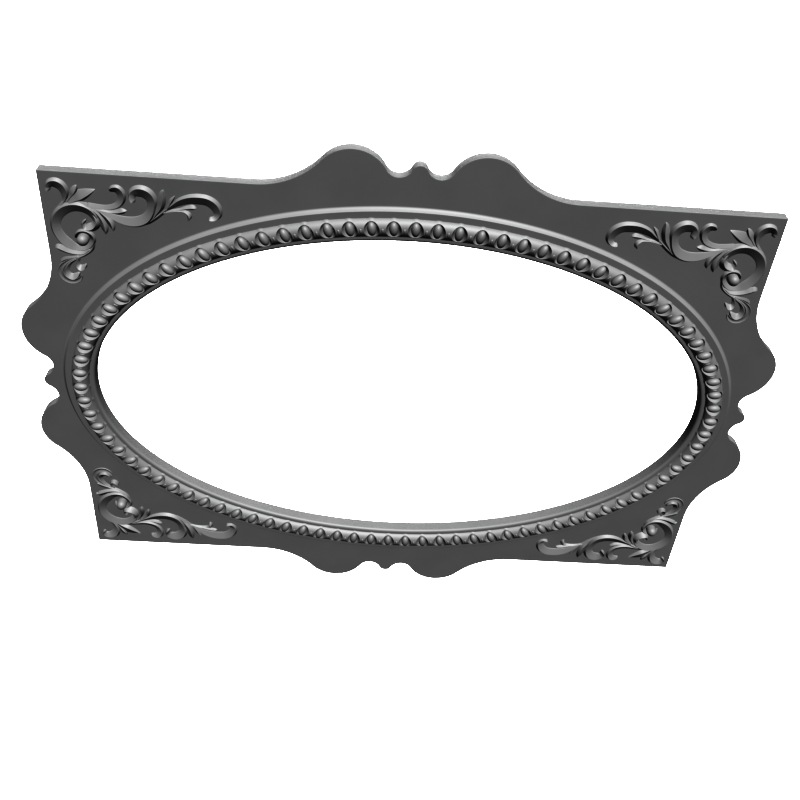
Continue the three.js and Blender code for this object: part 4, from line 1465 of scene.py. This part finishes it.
@dataclass
class TurnButtons:
    """The turn buttons that hold the mirror in its rebate, open along the rim, each on its screw."""

    finishes: Finishes
    board: Board
    screw: PanScrew = PanScrew()
    angles: tuple[float, float] = (20.0, 66.0)
    inset: float = 9.0
    clearance: float = 0.3
    thickness: float = 1.6
    front_round: float = 0.15
    back_round: float = 0.4
    flat: float = 0.3
    head_radius: float = 6.5
    tip_radius: float = 4.0
    reach: float = 19.0
    bore_radius: float = 2.2
    arc_steps: int = 24
    screw_spin: float = 37.0

    def outline(self) -> Loop:
        """The button's edge round its screw, with its tip along +X.

        Returns:
            Rows of X and Z, turning left.
        """
        lean = math.acos((self.head_radius - self.tip_radius) / self.reach)
        head = np.linspace(lean, 2 * np.pi - lean, self.arc_steps)
        tip = np.linspace(-lean, lean, self.arc_steps)
        return np.concatenate([
            self.head_radius * np.c_[np.cos(head), np.sin(head)],
            self.tip_radius * np.c_[np.cos(tip), np.sin(tip)] + [self.reach, 0.0],
        ])

    def place(self, degrees: float, quarter: Quarter) -> tuple[np.ndarray, np.ndarray]:
        """X and Z of a screw, and the way along the rim there.

        Args:
            degrees: Angle on the oval of the rebate.
            quarter: The quarter of the frame.

        Returns:
            The place and the way.
        """
        bore = np.array([OVAL.half_width, OVAL.half_height]) + self.board.lip
        turn = np.array([math.cos(math.radians(degrees)), math.sin(math.radians(degrees))])
        out = unit(turn / bore)
        pivot = (turn * bore + out * self.inset) * quarter.value
        return pivot, np.array([-out[1], out[0]]) * quarter.value

    def build(self) -> None:
        """Builds and dresses the buttons and their screws."""
        back = self.clearance + self.thickness
        plate = Plate(self.clearance, back, self.front_round, self.back_round, self.flat)
        outline, bore = self.outline(), self.bore_radius * circle(2 * self.arc_steps)
        head = back + self.clearance
        for order, quarter in enumerate(Quarter):
            for k, degrees in enumerate(self.angles, 1):
                (x, z), (right, up) = self.place(degrees, quarter)
                turn = np.array([[right, up], [-up, right]])
                loops = [(loop @ turn + [x, z], inward_ways(loop) @ turn) for loop in (outline, bore)]
                shape = Shape()
                plate.build(shape, loops)
                name = f"{quarter.word}_{k}"
                piece = shape.piece(f"button_plate_{name}", [self.finishes.zinc])
                dress(piece, f"button_{name}", [f"turn_button_{name}"])
                spin = self.screw_spin * (order * len(self.angles) + k)
                place, node = np.array([x, head, z]), f"turn_button_screw_{name}"
                self.screw.build(f"button_pivot_{name}", node, place, spin, self.finishes.zinc)


@dataclass
class Hangers:
    """The two hangers on the back: a strap that is folded round a wire ring, on two screws."""

    finishes: Finishes
    board: Board
    screw: PanScrew = PanScrew()
    inset: float = 57.0
    drop: float = 122.0
    clearance: float = 0.3
    strap_half_width: float = 6.0
    strap_thickness: float = 1.2
    strap_length: float = 40.0
    strap_corner: float = 3.0
    strap_round: float = 0.25
    strap_flat: float = 0.3
    hole_drops: tuple[float, float] = (23.0, 34.0)
    hole_radius: float = 1.9
    curl_turn: float = 300.0
    curl_steps: int = 30
    wire_radius: float = 1.4
    wire_sides: int = 14
    ring_half_width: float = 10.0
    ring_drop: float = 17.0
    ring_steps: int = 160
    bend: int = 4
    arc_steps: int = 10
    screw_spin: float = 29.0

    @property
    def axis(self) -> float:
        """How far behind the board the ring's bar lies."""
        return 2 * self.clearance + self.wire_radius + self.strap_thickness

    def strap(self, shape: Shape, x: float, z: float) -> None:
        """Adds the strap's plate and its curl round the ring's bar.

        Args:
            shape: What takes the points and faces.
            x: X of the bar's middle.
            z: Z of the bar.
        """
        half, corner = self.strap_half_width, self.strap_corner
        arc = np.linspace(np.pi, 1.5 * np.pi, self.arc_steps)
        left = np.c_[np.cos(arc), np.sin(arc)] * corner + [corner - half, corner - self.strap_length]
        outline = np.concatenate([[[half, 0.0], [-half, 0.0]], left, (left * [-1, 1])[::-1]])
        hole = self.hole_radius * circle(3 * self.arc_steps)
        loops = [(outline, inward_ways(outline))]
        loops += [(hole + [0.0, -drop], inward_ways(hole)) for drop in self.hole_drops]
        back = self.clearance + self.strap_thickness
        plate = Plate(self.clearance, back, self.strap_round / 2, self.strap_round, self.strap_flat)
        plate.build(shape, [(loop + [x, z], ways) for loop, ways in loops])
        thick, soft = self.strap_thickness / 2, self.strap_round
        middle = self.wire_radius + self.clearance + thick
        section = np.array([
            (thick, soft - half), (thick, half - soft), (thick - soft, half), (soft - thick, half),
            (-thick, half - soft), (-thick, soft - half), (soft - thick, -half), (thick - soft, -half),
        ])
        rows = []
        for angle in np.radians(np.linspace(0.0, self.curl_turn, self.curl_steps)):
            reach = middle + section[:, 0]
            deep, high = self.axis - reach * math.cos(angle), reach * math.sin(angle)
            rows.append(np.c_[x + section[:, 1], deep, z + high])
        shape.add(*swept(rows))

    def ring(self, shape: Shape, x: float, z: float) -> None:
        """Adds the wire ring, with its bow hanging below its bar.

        Args:
            shape: What takes the points and faces.
            x: X of the bar's middle.
            z: Z of the bar.
        """
        turn = np.linspace(0.0, np.pi, self.ring_steps)
        bow = np.c_[self.ring_half_width * np.cos(turn), -self.ring_drop * np.sin(turn)]
        corners = np.concatenate([bow, bow[:1]])
        run = run_along(corners)
        even = np.linspace(0.0, run[-1], self.ring_steps, endpoint=False)
        path = np.c_[np.interp(even, run, corners[:, 0]), np.interp(even, run, corners[:, 1])]
        path = np.mean([np.roll(path, k, axis=0) for k in range(-self.bend, self.bend + 1)], axis=0)
        spot = self.wire_radius * circle(self.wire_sides)
        rows = []
        for place, (along, rise) in zip(path + [x, z], ways_along(path, closed=True)):
            rows.append(raised(place + np.outer(spot[:, 1], [rise, -along]), self.axis + spot[:, 0]))
        faces = web(len(rows), self.wire_sides, close_rows=True, close_columns=True)
        shape.add(np.concatenate(rows), faces)

    def build(self) -> None:
        """Builds and dresses the straps, rings and screws."""
        zinc = self.finishes.zinc
        z = self.board.half_height - self.drop
        for side in Side:
            x = side.value * (self.board.half_width - self.inset)
            strap, ring = Shape(), Shape()
            self.strap(strap, x, z)
            self.ring(ring, x, z)
            piece = strap.piece(f"strap_{side.word}", [zinc])
            dress(piece, BODY, [f"hanger_strap_{side.word}"])
            piece = ring.piece(f"wire_ring_{side.word}", [zinc])
            dress(piece, f"ring_{side.word}", [f"hanger_ring_{side.word}"])
            for k, drop in enumerate(self.hole_drops, 1):
                place = np.array([x, self.strap_thickness + 2 * self.clearance, z - drop])
                name = f"{side.word}_{k}"
                spin = self.screw_spin * (k + side.value)
                self.screw.build(f"strap_screw_{name}", f"hanger_screw_{name}", place, spin, zinc)


@dataclass
class WallBumpers:
    """The moulded rubber bumpers on the lower corners of the back."""

    finishes: Finishes
    board: Board
    inset: float = 26.0
    profile: tuple[Pair, ...] = (
        (5.7, 0.3), (6.0, 0.6), (5.9, 1.2), (5.5, 3.4), (5.25, 5.2), (5.0, 5.8), (4.6, 6.15), (4.0, 6.3),
        (1.9, 6.3), (1.5, 6.15), (1.2, 5.8), (0.6, 5.6),
    )
    sides: int = 40

    def build(self) -> None:
        """Builds and dresses the bumpers."""
        points, faces = lathe(self.profile, self.sides)
        for side in Side:
            x = side.value * (self.board.half_width - self.inset)
            shape = Shape()
            shape.add(points + [x, 0.0, self.inset - self.board.half_height], faces)
            piece = shape.piece(f"bumper_{side.word}", [self.finishes.rubber])
            dress(piece, BODY, [f"wall_bumper_{side.word}"])


@dataclass
class Studio:
    """Floor, lights and camera, with places in metres."""

    floor_drop: float = 1.6
    floor_reach: float = 20.0
    fill: float = 0.27
    key: float = 21.6
    key_way: tuple[float, float, float] = (0.135, -0.42, 0.897)
    key_width: float = 8.0
    back: float = 5.0
    back_way: tuple[float, float, float] = (0.0, 1.0, -0.04)
    back_width: float = 40.0
    camera_place: tuple[float, float, float] = (-0.0687, -1.2597, 0.9645)
    camera_right: tuple[float, float, float] = (0.9975, -0.0002, 0.0707)
    camera_up: tuple[float, float, float] = (-0.0557, 0.6146, 0.7868)
    lens: float = 43.456
    sensor: float = 36.0
    clip: Pair = (0.01, 200.0)

    def floor(self) -> None:
        """Lays the floor under the hanging frame."""
        reach, level = self.floor_reach, -self.floor_drop
        mesh = bpy.data.meshes.new("floor")
        corners = [(quarter.value[0] * reach, quarter.value[1] * reach, level) for quarter in Quarter]
        mesh.from_pydata(corners, [], [(0, 1, 2, 3)])
        mesh.materials.append(PaleFloor().material())
        made = add_object("floor", mesh)
        made.visible_diffuse = False
        made.visible_glossy = False
        made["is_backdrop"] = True

    def sun(self, name: str, way: Sequence[float], strength: float, width: float, shadow: bool) -> None:
        """Adds a lamp that shines from one way.

        Args:
            name: The lamp's name.
            way: Towards the lamp.
            strength: Its strength.
            width: Its width in degrees, which softens gloss and shadow.
            shadow: Whether it casts shadows.
        """
        lamp = bpy.data.lights.new(name, "SUN")
        lamp.energy = strength
        lamp.angle = math.radians(width)
        lamp.use_shadow = shadow
        made = add_object(name, lamp)
        made.rotation_euler = Vector(way).to_track_quat("Z", "Y").to_euler()

    def world(self) -> None:
        """White surroundings to look at, with a low even light from all round."""
        world = bpy.data.worlds.new("studio")
        world.use_nodes = True
        bpy.context.scene.world = world
        graph = Graph(world.node_tree)
        seen = graph.node("ShaderNodeBackground", {}, {"Color": (1, 1, 1, 1), "Strength": 1.0})
        light = graph.node("ShaderNodeBackground", {}, {"Color": (1, 1, 1, 1), "Strength": self.fill})
        ray = graph.node("ShaderNodeLightPath").outputs["Is Camera Ray"]
        mixed = graph.node("ShaderNodeMixShader", {}, {0: ray, 1: light.outputs[0], 2: seen.outputs[0]})
        graph.node("ShaderNodeOutputWorld", {}, {"Surface": mixed.outputs[0]})

    def camera(self) -> None:
        """Sets the camera at the photograph's view."""
        lens = bpy.data.cameras.new("camera")
        lens.sensor_width = self.sensor
        lens.lens = self.lens
        lens.clip_start, lens.clip_end = self.clip
        made = add_object("camera", lens)
        right, up = Vector(self.camera_right).normalized(), Vector(self.camera_up).normalized()
        behind = right.cross(up)
        turn = Matrix((right, up, behind)).transposed().to_4x4()
        made.matrix_world = Matrix.Translation(self.camera_place) @ turn
        bpy.context.scene.camera = made

    def build(self) -> None:
        """Sets up the studio."""
        bpy.context.scene.view_settings.view_transform = "Raw"
        self.floor()
        self.world()
        self.sun("key", self.key_way, self.key, self.key_width, shadow=False)
        self.sun("back", self.back_way, self.back, self.back_width, shadow=True)
        self.camera()


def main() -> None:
    """Builds the frame's pieces in order, and the studio round them."""
    logging.basicConfig(level=logging.INFO)
    finishes = Finishes()
    board = Board(finishes)
    for part in (
        board,
        OvalMoulding(finishes),
        EggAndDart(finishes),
        CornerScrolls(finishes, board),
        Tongues(finishes),
        TurnButtons(finishes, board),
        Hangers(finishes, board),
        WallBumpers(finishes, board),
        Studio(),
    ):
        part.build()
    boxes = {"cad": CAD_BOX, "visual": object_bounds()}
    {name: [list(corner) for corner in box] for name, box in boxes.items()}


if __name__ == "__main__":
    main()
